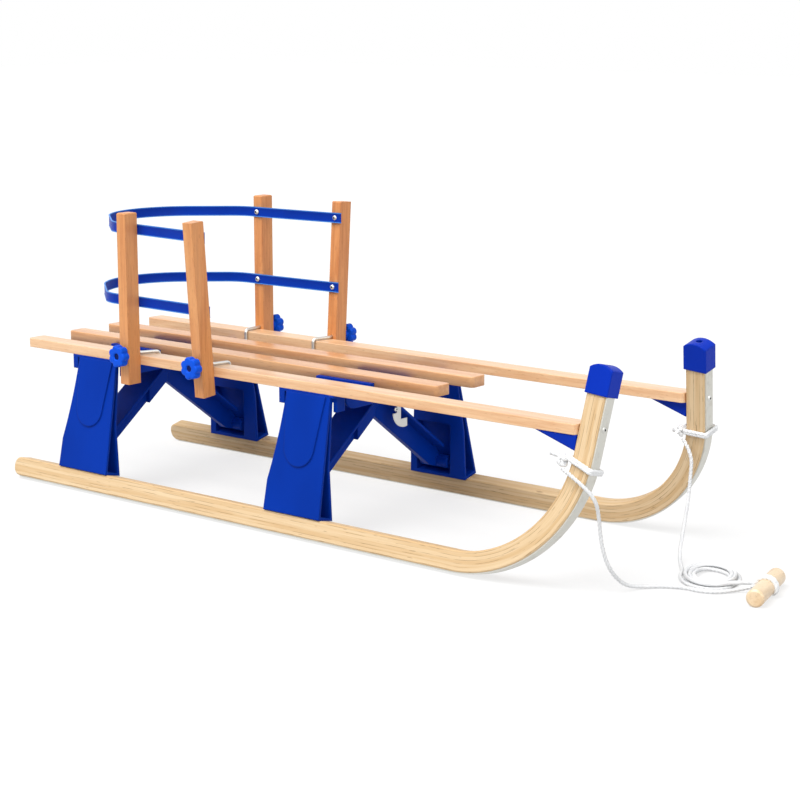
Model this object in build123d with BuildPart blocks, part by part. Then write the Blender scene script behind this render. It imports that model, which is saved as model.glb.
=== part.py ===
from build123d import *
import os
from math import acos, asin, atan2, cos, degrees, hypot, pi, radians, sin, tan

os.makedirs("parts", exist_ok=True)

# A folding wooden sled: two bent, laminated runners with horns, four slats, moulded plastic
# trestles that fold lengthwise, a clamped-on backrest and a pulling rope with a wooden handle.
# +X points forward, +Y to the sled's left, +Z up. Every piece is drawn on the left side, and the
# right one is its mirror image, except where a hinge or the clamped backrest differs.

# Overall sizes
OVERALL_LENGTH = 1095.0
TRACK_HALF = 190.0
CANT_ANGLE = 12.4
SEAT_HEIGHT = 222.0
REAR_X = -OVERALL_LENGTH / 2
FRONT_X = OVERALL_LENGTH / 2

# Clearances and shared small sizes
SEAT_GAP = 0.3
PIN_GAP = 0.1
CUT_OVERRUN = 5.0
EDGE_SOFTENING = 1.2

# Runner and steel shoe
RUNNER_WIDTH = 23.0
RUNNER_THICKNESS = 29.0
SHOE_THICKNESS = 2.0
SHOE_SIDE_INSET = 2.5
RUNNER_REAR_GAP = 3.0
RUNNER_NOSE_RADIUS = 13.0
BEND_SETBACK = 211.0
BEND_RADIUS = 203.0
BEND_ANGLE = 72.0
HORN_RADIUS = 170.0
HORN_ANGLE = 85.0
HORN_STRAIGHT = 110.0

# Horn cap
CAP_WALL = 2.2
CAP_DEPTH = 26.0
CAP_TOP = 14.0
CAP_CROWN = 6.0
CAP_HOLE_RADIUS = 4.5
CAP_HOLE_DEPTH = 8.0

# Slats
SLAT_THICKNESS = 14.0
OUTER_SLAT_OVERHANG = 0.715
OUTER_SLAT_WIDTH = 32.4
OUTER_SLAT_REAR_GAP = 3.0
INNER_SLAT_EDGE = 58.4
INNER_SLAT_WIDTH = 32.4
INNER_SLAT_LENGTH = 759.0
SLAT_CORNER = 6.0

# Gusset under the front end of an outer slat
GUSSET_LENGTH = 66.0
GUSSET_DEPTH = 21.0
GUSSET_WIDTH = 20.0

# Trestles
REAR_TRESTLE_SETBACK = 161.0
FRONT_TRESTLE_SETBACK = 595.0
TRESTLE_REAR_REACH = 52.5
TRESTLE_FRONT_REACH = 51.0

# Leg and foot
LEG_PROUD = 2.0
LEG_WALL = 3.6
FOOT_INSET = 34.0
LEG_KNEE_HEIGHT = 104.0
LEG_HEAD_WIDTH = 5.3
LEG_REAR_FLARE_HEIGHT = 78.0
LEG_HEAD_REAR = 38.0
LEG_HEAD_FRONT = 44.0
LEG_FOOT_FRONT = 55.0
LEG_REAR_BULGE = 3.0
BOSS_RAISE = 2.0
BOSS_TOP_HALF = 37.0
BOSS_TIP_HEIGHT = 102.0
BOSS_SHOULDER_HEIGHT = 128.0
BOSS_SHOULDER_HALF = 28.0
BOSS_TOP_DROP = 4.0

# Pocket of the strut in the foot
POCKET_REAR = 40.0
POCKET_FRONT = 24.0
POCKET_TOP = 112.0
CHEEK = 4.0
FOOT_FLOOR = 4.0

# Head bracket of a leg
HEAD_PLATE = 4.0
EAR_LENGTH = 10.5
EAR_DEPTH = 22.0
HEAD_FLANGE = 6.0
LUG_NEAR = 33.0
LUG_FAR = 45.0
LUG_RADIUS = 6.0

# Fold hinge between a leg head and a crossbeam half
FOLD_INSET = 46.0
FOLD_DROP = 19.0
FOLD_PIN_RADIUS = 3.0
LOBE_RADIUS = 20.0
LOBE_GAP = 2.0

# Crossbeam half
BEAM_PLATE = 4.0
BEAM_FLANGE = 4.5
BEAM_FLANGE_DEPTH = 25.0
BEAM_HINGE_GAP = 7.0
BEAM_INNER_EDGE = 6.6
FLANGE_TIP = 3.0
FLANGE_TIP_DEPTH = 3.0
FLANGE_NECK = 10.0
FLANGE_NECK_DEPTH = 6.4
FLANGE_FULL_LENGTH = 42.0
RIDGE_WIDTH = 8.5
RIDGE_HEIGHT = 5.0
RIDGE_GAP = 0.6
KNUCKLE_RADIUS = 5.5
KNUCKLE_SPLIT = 29.0
KNUCKLE_END = 46.0
KNUCKLE_GAP = 0.5
CENTRE_PIN_RADIUS = 2.5

# Strut
STRUT_SETBACK = 7.0
STRUT_PIVOT_INSET = 27.0
STRUT_PIVOT_Z = 51.0
STRUT_APEX_DROP = 37.0
STRUT_DEPTH = 32.0
STRUT_WEB = 10.0
STRUT_FLANGE = 4.0
STRUT_FLANGE_WIDTH = 52.0
STRUT_GAP = 1.5
STRUT_EYE_RADIUS = 10.0
STRUT_PIN_RADIUS = 4.0
STRUT_TAPER_LOW = 23.0
STRUT_TAPER_HIGH = 15.0
TONGUE_RADIUS = 9.0
FORK_LUG = 7.0
FORK_REACH = 42.0
FORK_CLEAR = 16.0
FORK_GAP = 0.6
RIVET_RADIUS = 4.0
RIVET_HEAD = 2.0

# Latch plate on the front strut: drops are measured down from the strut's upper edge
LATCH_THICKNESS = 2.0
LATCH_BAR_Y = 30.4
LATCH_BAR_WIDTH = 9.2
LATCH_HEEL_REACH = 8.0
LATCH_HEEL_DROP = 18.0
LATCH_MOUTH_DROP = 28.5
LATCH_TIP_REACH = 15.0
LATCH_TIP_HEIGHT = 12.5
LATCH_BELLY = 9.0

# Backrest posts: each row gives the side, the name, the post's distance ahead of the rear end,
# how far its hook's bent end lies ahead of the post, and the outward lean in degrees
POST_LENGTH = 18.0
POST_WIDTH = 24.5
POST_HANG = 28.0
POST_TOP = 440.0
POST_CHAMFER = 1.5
POST_COLUMNS = ("side", "name", "ahead", "hook_offset", "lean")
POST_ROWS = (
    ("right", "rear", 250.0, 14.0, 0.0),
    ("right", "front", 405.0, 7.0, 4.2),
    ("left", "rear", 231.0, 3.0, 0.0),
    ("left", "front", 386.0, -7.0, 3.85),
)

# Hook bolts and star knobs
HOOK_RADIUS = 2.5
HOOK_RISE = 3.0
HOOK_TIP_DROP = 16.0
HOOK_BEND = 5.0
KNOB_CORE_RADIUS = 13.0
KNOB_LOBE_RADIUS = 4.6
KNOB_LOBES = 7
KNOB_THICKNESS = 13.5
KNOB_HUB_RADIUS = 7.0
KNOB_HUB_TOP = 5.6
KNOB_HUB_LENGTH = 4.5
KNOB_SOFTENING = 1.5
HOOK_END_DEPTH = 3.0

# Backrest bands: each row gives the name, how far the middle lies below the posts' tops, and how
# far the back of the bow and the corners of its sides lie ahead of the rear end
BAND_HEIGHT = 16.0
BAND_THICKNESS = 2.5
BAND_BACK_RADIUS = 118.0
BAND_SIDE_RADIUS = 60.0
BAND_SPLAY_RADIUS = 40.0
BAND_SPLAY_GAP = 4.0
BAND_PAST_MIDDLE = {"right": 7.5, "left": 12.5}
BAND_COLUMNS = ("name", "drop", "back_ahead", "corner_ahead")
BAND_ROWS = (
    ("lower", 135.5, 80.5, 188.0),
    ("upper", 26.0, 95.5, 204.0),
)

# Rope
ROPE_RADIUS = 3.5
ROPE_TURN_HEIGHT = 171.0
ROPE_TURN_LENGTH = 15.0
KNOT_RADIUS = 8.5
COIL_LENGTH = 124.0
COIL_WIDTH = 92.0
COIL_HEIGHT = 14.0
COIL_AHEAD = 1166.0
COIL_Y = 12.0
COIL_TURN = 120.0
COIL_SOFTENING = 5.0
HANDLE_RADIUS = 12.0
HANDLE_LENGTH = 112.0
HANDLE_AHEAD = 1259.0
HANDLE_Y = -9.0
HANDLE_TURN = 14.0
HANDLE_SOFTENING = 2.5

# Worked-out sizes
cant = radians(CANT_ANGLE)
outer_edge_z = (RUNNER_WIDTH - SHOE_SIDE_INSET) * sin(cant)
runner_depth = RUNNER_THICKNESS + SHOE_THICKNESS
slat_bottom = SEAT_HEIGHT - SLAT_THICKNESS
inner_slat_inner = INNER_SLAT_EDGE - INNER_SLAT_WIDTH
leg_head_slant = (slat_bottom - outer_edge_z) * tan(cant)
leg_head_outer = TRACK_HALF - leg_head_slant + LEG_PROUD / cos(cant)
leg_head_inner = leg_head_outer - LEG_HEAD_WIDTH
outer_slat_edge = leg_head_outer + OUTER_SLAT_OVERHANG
outer_slat_inner = outer_slat_edge - OUTER_SLAT_WIDTH
foot_inner = TRACK_HALF - FOOT_INSET
fold_y = outer_slat_edge - FOLD_INSET
fold_z = SEAT_HEIGHT - FOLD_DROP
beam_outer_edge = fold_y - BEAM_HINGE_GAP
flange_full = fold_y - FLANGE_FULL_LENGTH
bend_x = FRONT_X - CAP_WALL - BEND_SETBACK
strut_pivot_y = TRACK_HALF - STRUT_PIVOT_INSET
strut_apex_z = slat_bottom - STRUT_APEX_DROP
strut_taper_low = strut_pivot_y - STRUT_TAPER_LOW
strut_taper_high = strut_pivot_y - STRUT_TAPER_HIGH
strut_slope = (strut_apex_z - STRUT_PIVOT_Z) / strut_pivot_y
strut_rise = STRUT_DEPTH / 2 / cos(atan2(strut_apex_z - STRUT_PIVOT_Z, strut_pivot_y))
post_bottom = slat_bottom - POST_HANG

# The left runner stands in this plane: drawn along X and up the leaning height, and its width
# runs inward from it
CANTED = Plane(
    origin=(0, TRACK_HALF, outer_edge_z),
    x_dir=(1, 0, 0),
    z_dir=(0, -cos(cant), -sin(cant)),
)


def canted_y(z, inward=0.0):
    """The y of the leaning outer face at height z, moved inward by a distance."""
    return TRACK_HALF - (z - outer_edge_z) * tan(cant) - inward / cos(cant)


def bend_point(inset, angle):
    """A point of the runner's side view, this far inside the shoe's outer face, at a bend angle."""
    turn = radians(min(angle, BEND_ANGLE))
    x = bend_x + (BEND_RADIUS - inset) * sin(turn)
    v = BEND_RADIUS - (BEND_RADIUS - inset) * cos(turn)
    if angle > BEND_ANGLE:
        first = radians(BEND_ANGLE)
        last = radians(angle)
        x += (HORN_RADIUS - inset) * (sin(last) - sin(first))
        v += (HORN_RADIUS - inset) * (cos(first) - cos(last))
    return (x, v)


def horn_point(inset, along):
    """A point on the straight end of the horn."""
    x, v = bend_point(inset, HORN_ANGLE)
    horn = radians(HORN_ANGLE)
    return (x + along * cos(horn), v + along * sin(horn))


def horn_direction():
    """The direction of the left horn's straight end, pointing up."""
    horn = radians(HORN_ANGLE)
    return CANTED.x_dir * cos(horn) + CANTED.y_dir * sin(horn)


def horn_end_plane(along):
    """The plane square to the left horn's straight end, with its origin on the horn's middle."""
    middle_x, middle_v = horn_point(runner_depth / 2, along)
    middle = CANTED.from_local_coords((middle_x, middle_v, RUNNER_WIDTH / 2))
    return Plane(origin=middle, x_dir=CANTED.z_dir, z_dir=horn_direction())


def horn_face_x(z):
    """The x of the horn's rear face at height z, on the outer side."""
    v = (z - outer_edge_z) / cos(cant)
    foot_x, foot_v = horn_point(runner_depth, 0)
    return foot_x + (v - foot_v) / tan(radians(HORN_ANGLE))


def runner_outline(near_inset, far_inset, rear_x, end_along):
    """Edges of a layer of the runner between two insets, from its rear end to its horn."""
    half_bend = BEND_ANGLE / 2
    half_horn = (BEND_ANGLE + HORN_ANGLE) / 2
    for inset in (near_inset, far_inset):
        Line((rear_x, inset), bend_point(inset, 0))
        ThreePointArc(
            bend_point(inset, 0), bend_point(inset, half_bend), bend_point(inset, BEND_ANGLE)
        )
        ThreePointArc(
            bend_point(inset, BEND_ANGLE),
            bend_point(inset, half_horn),
            bend_point(inset, HORN_ANGLE),
        )
        Line(bend_point(inset, HORN_ANGLE), horn_point(inset, end_along))
    Line((rear_x, near_inset), (rear_x, far_inset))
    Line(horn_point(near_inset, end_along), horn_point(far_inset, end_along))


def save(solid, label):
    """Label a finished piece and write it."""
    solid.label = label
    export_step(solid, f"parts/{label}.step")


def save_pair(solid, stem):
    """Write a left piece and its mirror image."""
    save(solid, f"{stem}_left")
    save(mirror(solid, about=Plane.XZ), f"{stem}_right")


def make_runner():
    rear_x = REAR_X + RUNNER_REAR_GAP
    with BuildPart() as runner:
        with BuildSketch(CANTED):
            with BuildLine():
                runner_outline(SHOE_THICKNESS, runner_depth, rear_x, HORN_STRAIGHT)
            make_face()
            ends = vertices().sort_by(Axis.X)[:2]
            fillet(ends, radius=RUNNER_NOSE_RADIUS)
        extrude(amount=RUNNER_WIDTH)
    return runner.part


def make_shoe():
    rear_x = REAR_X + RUNNER_REAR_GAP + RUNNER_NOSE_RADIUS
    with BuildPart() as shoe:
        with BuildSketch(CANTED.offset(SHOE_SIDE_INSET)):
            with BuildLine():
                runner_outline(0, SHOE_THICKNESS, rear_x, HORN_STRAIGHT - CAP_DEPTH + CAP_WALL)
            make_face()
        extrude(amount=RUNNER_WIDTH - 2 * SHOE_SIDE_INSET)
    return shoe.part


def make_cap():
    """A cap whose top is vaulted from its front to its rear, with a hole in the crown."""
    outer_low = -CAP_WALL
    outer_high = runner_depth + CAP_WALL
    mouth = HORN_STRAIGHT - CAP_DEPTH
    top = HORN_STRAIGHT + CAP_TOP
    shoulder = top - CAP_CROWN
    with BuildPart() as cap:
        with BuildSketch(CANTED.offset(-CAP_WALL)):
            with BuildLine():
                ThreePointArc(
                    horn_point(outer_low, shoulder),
                    horn_point(runner_depth / 2, top),
                    horn_point(outer_high, shoulder),
                )
                Polyline(
                    horn_point(outer_high, shoulder),
                    horn_point(outer_high, mouth),
                    horn_point(outer_low, mouth),
                    horn_point(outer_low, shoulder),
                )
            make_face()
        extrude(amount=RUNNER_WIDTH + 2 * CAP_WALL)
        upright = Axis((0, 0, 0), horn_direction())
        fillet(cap.edges().sort_by(upright)[4:], radius=EDGE_SOFTENING)
        with BuildSketch(CANTED.offset(-SEAT_GAP)):
            Polygon(
                horn_point(-SEAT_GAP, mouth - CUT_OVERRUN),
                horn_point(-SEAT_GAP, HORN_STRAIGHT + SEAT_GAP),
                horn_point(runner_depth + SEAT_GAP, HORN_STRAIGHT + SEAT_GAP),
                horn_point(runner_depth + SEAT_GAP, mouth - CUT_OVERRUN),
                align=None,
            )
        extrude(amount=RUNNER_WIDTH + 2 * SEAT_GAP, mode=Mode.SUBTRACT)
        with BuildSketch(horn_end_plane(top - CAP_HOLE_DEPTH)):
            Circle(CAP_HOLE_RADIUS)
        extrude(amount=CAP_HOLE_DEPTH + CUT_OVERRUN, mode=Mode.SUBTRACT)
    return cap.part


def make_outer_slat():
    rear_x = REAR_X + OUTER_SLAT_REAR_GAP
    front_x = horn_face_x(slat_bottom) - SEAT_GAP
    middle = ((rear_x + front_x) / 2, outer_slat_edge - OUTER_SLAT_WIDTH / 2)
    with BuildPart() as slat:
        with BuildSketch(Plane.XY.offset(slat_bottom)):
            with Locations(middle):
                RectangleRounded(front_x - rear_x, OUTER_SLAT_WIDTH, SLAT_CORNER)
        extrude(amount=SLAT_THICKNESS)
        fillet(slat.edges().group_by(Axis.Z)[-1], radius=EDGE_SOFTENING)
    return slat.part


def make_inner_slat():
    middle = (REAR_X + INNER_SLAT_LENGTH / 2, INNER_SLAT_EDGE - INNER_SLAT_WIDTH / 2)
    with BuildPart() as slat:
        with BuildSketch(Plane.XY.offset(slat_bottom)):
            with Locations(middle):
                RectangleRounded(INNER_SLAT_LENGTH, INNER_SLAT_WIDTH, SLAT_CORNER)
        extrude(amount=SLAT_THICKNESS)
        fillet(slat.edges().group_by(Axis.Z)[-1], radius=EDGE_SOFTENING)
    return slat.part


def make_gusset():
    low_z = slat_bottom - GUSSET_DEPTH
    horn_high = horn_face_x(slat_bottom) - SEAT_GAP
    horn_low = horn_face_x(low_z) - SEAT_GAP
    outer_y = outer_slat_edge - EDGE_SOFTENING
    with BuildPart() as gusset:
        with BuildSketch(Plane.XZ.offset(-outer_y)):
            Polygon(
                (horn_high - GUSSET_LENGTH, slat_bottom),
                (horn_high, slat_bottom),
                (horn_low, low_z),
                align=None,
            )
        extrude(amount=GUSSET_WIDTH)
    return gusset.part


def make_leg(trestle_x):
    """A leg with its foot, strut pocket and head bracket."""
    rear_x = trestle_x - TRESTLE_REAR_REACH
    length = TRESTLE_REAR_REACH + LEG_FOOT_FRONT
    top = slat_bottom
    foot_outer = TRACK_HALF - runner_depth * sin(cant) + LEG_PROUD * cos(cant)
    foot_outer_z = outer_edge_z + runner_depth * cos(cant) + LEG_PROUD * sin(cant)
    foot_inner_z = foot_outer_z - (foot_outer - foot_inner) * tan(cant)
    floor_rise = FOOT_FLOOR / cos(cant)
    slot_top = top - BOSS_TOP_DROP - EAR_DEPTH
    with BuildPart() as leg:
        with BuildSketch(Plane.YZ.offset(rear_x)):
            Polygon(
                (foot_outer, foot_outer_z),
                (leg_head_outer, top),
                (leg_head_inner, top),
                (foot_inner, LEG_KNEE_HEIGHT),
                (foot_inner, foot_inner_z),
                align=None,
            )
        extrude(amount=length)
        with BuildSketch(Plane.XZ):
            with BuildLine():
                rear_low = (trestle_x - TRESTLE_REAR_REACH, 0)
                rear_flare = (trestle_x - TRESTLE_REAR_REACH, LEG_REAR_FLARE_HEIGHT)
                rear_head = (trestle_x - LEG_HEAD_REAR, top)
                sweep_middle = (
                    (rear_flare[0] + rear_head[0]) / 2 + LEG_REAR_BULGE,
                    (rear_flare[1] + rear_head[1]) / 2,
                )
                Line(rear_low, rear_flare)
                ThreePointArc(rear_flare, sweep_middle, rear_head)
                Polyline(
                    rear_head,
                    (trestle_x + LEG_HEAD_FRONT, top),
                    (trestle_x + LEG_FOOT_FRONT, 0),
                    rear_low,
                )
            make_face()
        extrude(amount=TRACK_HALF + CUT_OVERRUN, both=True, mode=Mode.INTERSECT)
        # The slots between the outer and inner wall, open to the front and to the rear
        slot_outer_low = foot_outer - LEG_WALL / cos(cant)
        slot_inner = foot_inner + LEG_WALL
        slot_neck = canted_y(slot_top, LEG_WALL - LEG_PROUD)
        slots = (
            (rear_x - CUT_OVERRUN, trestle_x - POCKET_REAR - CHEEK),
            (trestle_x + POCKET_FRONT + CHEEK, rear_x + length + CUT_OVERRUN),
        )
        for slot_start, slot_end in slots:
            with BuildSketch(Plane.YZ.offset(slot_start)):
                Polygon(
                    (slot_outer_low - floor_rise * tan(cant), foot_outer_z + floor_rise),
                    (slot_neck, slot_top),
                    (slot_neck - EDGE_SOFTENING, slot_top),
                    (slot_inner, LEG_KNEE_HEIGHT),
                    (slot_inner, foot_inner_z + floor_rise),
                    align=None,
                )
            extrude(amount=slot_end - slot_start, mode=Mode.SUBTRACT)
        # The pocket that the strut's foot turns in, open to the inside
        with BuildSketch(Plane.YZ.offset(trestle_x - POCKET_REAR)):
            Polygon(
                (slot_outer_low - floor_rise * tan(cant), foot_outer_z + floor_rise),
                (canted_y(POCKET_TOP, LEG_WALL - LEG_PROUD), POCKET_TOP),
                (foot_inner - CUT_OVERRUN, POCKET_TOP),
                (foot_inner - CUT_OVERRUN, foot_inner_z + floor_rise),
                align=None,
            )
        extrude(amount=POCKET_REAR + POCKET_FRONT, mode=Mode.SUBTRACT)
        with BuildSketch(Plane.YZ.offset(trestle_x - POCKET_REAR - CHEEK)):
            with Locations((strut_pivot_y, STRUT_PIVOT_Z)):
                Circle(STRUT_PIN_RADIUS + PIN_GAP)
        extrude(amount=POCKET_REAR + POCKET_FRONT + 2 * CHEEK, mode=Mode.SUBTRACT)
        # The raised tongue on the outer face
        with BuildSketch(CANTED.offset(-LEG_PROUD - BOSS_RAISE)):
            with BuildLine():
                boss_top = (top - BOSS_TOP_DROP - outer_edge_z) / cos(cant)
                shoulder = (BOSS_SHOULDER_HEIGHT - outer_edge_z) / cos(cant)
                tip = (BOSS_TIP_HEIGHT - outer_edge_z) / cos(cant)
                Polyline(
                    (trestle_x - BOSS_SHOULDER_HALF, shoulder),
                    (trestle_x - LEG_HEAD_REAR + EDGE_SOFTENING, boss_top),
                    (trestle_x + BOSS_TOP_HALF, boss_top),
                    (trestle_x + BOSS_SHOULDER_HALF, shoulder),
                )
                ThreePointArc(
                    (trestle_x - BOSS_SHOULDER_HALF, shoulder),
                    (trestle_x, tip),
                    (trestle_x + BOSS_SHOULDER_HALF, shoulder),
                )
            make_face()
        extrude(amount=BOSS_RAISE)
        # The head bracket: plate, rear ear, front flange and the two hinge lugs
        outer_y = outer_slat_edge
        lobe_y = fold_y + LOBE_RADIUS + LOBE_GAP
        rib_outer = leg_head_inner + LEG_WALL / 2
        blocks = (
            (-TRESTLE_REAR_REACH, TRESTLE_FRONT_REACH, lobe_y, outer_y, HEAD_PLATE),
            (-LUG_FAR, LUG_FAR, outer_slat_inner, outer_y, HEAD_PLATE),
            (-TRESTLE_REAR_REACH, EAR_LENGTH - TRESTLE_REAR_REACH, lobe_y, outer_y, EAR_DEPTH),
            (
                TRESTLE_FRONT_REACH - HEAD_FLANGE,
                TRESTLE_FRONT_REACH,
                lobe_y,
                leg_head_inner,
                BEAM_FLANGE_DEPTH,
            ),
        )
        for start, end, inner_y, far_y, depth in blocks:
            with BuildSketch(Plane.XY.offset(top)):
                with Locations((trestle_x + (start + end) / 2, (inner_y + far_y) / 2)):
                    Rectangle(end - start, far_y - inner_y)
            extrude(amount=-depth)
        for lug_start in (-LUG_FAR, LUG_NEAR):
            with BuildSketch(Plane.YZ.offset(trestle_x + lug_start)):
                with Locations((fold_y, fold_z)):
                    Circle(LUG_RADIUS)
                Polygon(
                    (fold_y, fold_z - LUG_RADIUS),
                    (fold_y, fold_z + LUG_RADIUS - EDGE_SOFTENING),
                    (outer_slat_inner, top),
                    (rib_outer, top),
                    (rib_outer, fold_z - LUG_RADIUS),
                    align=None,
                )
                with Locations((fold_y, fold_z)):
                    Circle(FOLD_PIN_RADIUS + PIN_GAP, mode=Mode.SUBTRACT)
            extrude(amount=LUG_FAR - LUG_NEAR)
    return leg.part


def make_beam_half(trestle_x, has_pin):
    """Half a crossbeam; the half with the centre pin has the two outer knuckles."""
    top = slat_bottom
    rear_x = trestle_x - TRESTLE_REAR_REACH
    front_x = trestle_x + TRESTLE_FRONT_REACH
    length = front_x - rear_x
    with BuildPart() as beam:
        with BuildSketch(Plane.XY.offset(top)):
            with Locations(((rear_x + front_x) / 2, (BEAM_INNER_EDGE + beam_outer_edge) / 2)):
                Rectangle(length, beam_outer_edge - BEAM_INNER_EDGE)
        extrude(amount=-BEAM_PLATE)
        for flange_x in (rear_x, front_x - BEAM_FLANGE):
            with BuildSketch(Plane.YZ.offset(flange_x)):
                Polygon(
                    (FLANGE_TIP, top),
                    (FLANGE_TIP, top - FLANGE_TIP_DEPTH),
                    (FLANGE_NECK, top - FLANGE_NECK_DEPTH),
                    (flange_full, top - BEAM_FLANGE_DEPTH),
                    (fold_y, top - BEAM_FLANGE_DEPTH),
                    (fold_y, top),
                    align=None,
                )
                with Locations((fold_y, fold_z)):
                    Circle(LOBE_RADIUS)
                with Locations((fold_y, top - SEAT_GAP + LOBE_RADIUS)):
                    Rectangle(2 * LOBE_RADIUS + CUT_OVERRUN, 2 * LOBE_RADIUS, mode=Mode.SUBTRACT)
            extrude(amount=BEAM_FLANGE)
        with BuildSketch(Plane.YZ.offset(rear_x)):
            with Locations((fold_y, fold_z)):
                Circle(FOLD_PIN_RADIUS)
        extrude(amount=length)
        # The ridge that keeps the inner slat in line
        with BuildSketch(Plane.XY.offset(top)):
            ridge_y = INNER_SLAT_EDGE + RIDGE_GAP + RIDGE_WIDTH / 2
            with Locations(((rear_x + front_x) / 2, ridge_y)):
                Rectangle(length, RIDGE_WIDTH)
        extrude(amount=RIDGE_HEIGHT)
        # Centre knuckles
        if has_pin:
            knuckles = ((-KNUCKLE_END, -KNUCKLE_SPLIT), (KNUCKLE_SPLIT, KNUCKLE_END))
        else:
            inner_end = KNUCKLE_SPLIT - KNUCKLE_GAP
            knuckles = ((-inner_end, inner_end),)
        for start, end in knuckles:
            with BuildSketch(Plane.YZ.offset(trestle_x + start)):
                with Locations((0, fold_z)):
                    Circle(KNUCKLE_RADIUS)
                Polygon(
                    (0, fold_z),
                    (0, fold_z + KNUCKLE_RADIUS - SEAT_GAP),
                    (BEAM_INNER_EDGE + BEAM_PLATE, top),
                    (BEAM_INNER_EDGE + BEAM_PLATE, top - BEAM_PLATE),
                    align=None,
                )
                if not has_pin:
                    with Locations((0, fold_z)):
                        Circle(CENTRE_PIN_RADIUS + PIN_GAP, mode=Mode.SUBTRACT)
            extrude(amount=end - start)
        if has_pin:
            with BuildSketch(Plane.YZ.offset(trestle_x - KNUCKLE_END)):
                with Locations((0, fold_z)):
                    Circle(CENTRE_PIN_RADIUS)
            extrude(amount=2 * KNUCKLE_END)
    return beam.part


def strut_line(y, side):
    """Height of the strut's upper or lower edge above its middle line at y."""
    return strut_apex_z - strut_slope * y + side * strut_rise


def make_strut(trestle_x, has_tongue):
    """A diagonal strut: a web under a wide flange, an eye at its foot and a joint at its head."""
    strut_x = trestle_x - STRUT_SETBACK
    flange_rise = STRUT_FLANGE * strut_rise / (STRUT_DEPTH / 2)
    tip_y = STRUT_GAP if has_tongue else FORK_CLEAR
    with BuildPart() as strut:
        with BuildSketch(Plane.YZ.offset(strut_x - STRUT_WEB / 2)):
            Polygon(
                (tip_y, strut_line(tip_y, -1)),
                (tip_y, strut_line(tip_y, 1)),
                (strut_taper_high, strut_line(strut_taper_high, 1)),
                (strut_pivot_y + STRUT_EYE_RADIUS * cos(cant), STRUT_PIVOT_Z),
                (strut_pivot_y, STRUT_PIVOT_Z - STRUT_EYE_RADIUS),
                (strut_taper_low, strut_line(strut_taper_low, -1)),
                align=None,
            )
            if has_tongue:
                with Locations((0, strut_apex_z)):
                    Circle(TONGUE_RADIUS)
        extrude(amount=STRUT_WEB)
        with BuildSketch(Plane.YZ.offset(strut_x - STRUT_FLANGE_WIDTH / 2)):
            with Locations((strut_pivot_y, STRUT_PIVOT_Z)):
                Circle(STRUT_EYE_RADIUS)
        extrude(amount=STRUT_FLANGE_WIDTH)
        with BuildSketch(Plane.YZ.offset(strut_x - STRUT_FLANGE_WIDTH / 2)):
            Polygon(
                (FORK_CLEAR, strut_line(FORK_CLEAR, 1)),
                (FORK_CLEAR, strut_line(FORK_CLEAR, 1) - flange_rise),
                (strut_taper_high, strut_line(strut_taper_high, 1) - flange_rise),
                (strut_taper_high, strut_line(strut_taper_high, 1)),
                align=None,
            )
        extrude(amount=STRUT_FLANGE_WIDTH)
        pin_start = strut_x - POCKET_REAR + STRUT_SETBACK - CHEEK
        with BuildSketch(Plane.YZ.offset(pin_start)):
            with Locations((strut_pivot_y, STRUT_PIVOT_Z)):
                Circle(STRUT_PIN_RADIUS)
        extrude(amount=POCKET_REAR + POCKET_FRONT + 2 * CHEEK)
        if not has_tongue:
            lug_offset = STRUT_WEB / 2 + FORK_GAP
            for lug_start in (-lug_offset - FORK_LUG, lug_offset):
                with BuildSketch(Plane.YZ.offset(strut_x + lug_start)):
                    with Locations((0, strut_apex_z)):
                        Circle(TONGUE_RADIUS)
                    Polygon(
                        (0, strut_apex_z - TONGUE_RADIUS),
                        (0, strut_apex_z + TONGUE_RADIUS),
                        (FORK_REACH, strut_line(FORK_REACH, 1)),
                        (FORK_REACH, strut_line(FORK_REACH, -1)),
                        (STRUT_GAP, strut_line(STRUT_GAP, -1)),
                        align=None,
                    )
                extrude(amount=FORK_LUG)
            with BuildSketch(Plane.YZ.offset(strut_x - lug_offset)):
                Polygon(
                    (FORK_CLEAR, strut_line(FORK_CLEAR, -1)),
                    (FORK_CLEAR, strut_line(FORK_CLEAR, 1)),
                    (FORK_REACH, strut_line(FORK_REACH, 1)),
                    (FORK_REACH, strut_line(FORK_REACH, -1)),
                    align=None,
                )
            extrude(amount=2 * lug_offset)
            for head_start in (-lug_offset - FORK_LUG - RIVET_HEAD, lug_offset + FORK_LUG):
                with BuildSketch(Plane.YZ.offset(strut_x + head_start)):
                    with Locations((0, strut_apex_z)):
                        Circle(RIVET_RADIUS)
                extrude(amount=RIVET_HEAD)
    return strut.part


def make_latch(trestle_x):
    """The steel hook plate in front of the left strut, near the middle."""
    start_x = trestle_x - STRUT_SETBACK + STRUT_FLANGE_WIDTH / 2
    bar_end = LATCH_BAR_Y + LATCH_BAR_WIDTH
    top = strut_line(LATCH_BAR_Y, 1)
    heel = Vector(LATCH_BAR_Y - LATCH_HEEL_REACH, top - LATCH_HEEL_DROP)
    mouth_z = top - LATCH_MOUTH_DROP
    tip = Vector(bar_end + LATCH_TIP_REACH, mouth_z - LATCH_TIP_HEIGHT)
    run = tip - heel
    belly = (heel + tip) / 2 + Vector(run.Y, -run.X).normalized() * LATCH_BELLY
    with BuildPart() as latch:
        with BuildSketch(Plane.YZ.offset(start_x)):
            with BuildLine():
                ThreePointArc(heel, belly, tip)
                Polyline(
                    tip,
                    (tip.X, mouth_z),
                    (bar_end, mouth_z),
                    (bar_end, strut_line(bar_end, 1)),
                    (LATCH_BAR_Y, top),
                    (LATCH_BAR_Y, heel.Y),
                    heel,
                )
            make_face()
        extrude(amount=LATCH_THICKNESS)
    return latch.part


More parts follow.
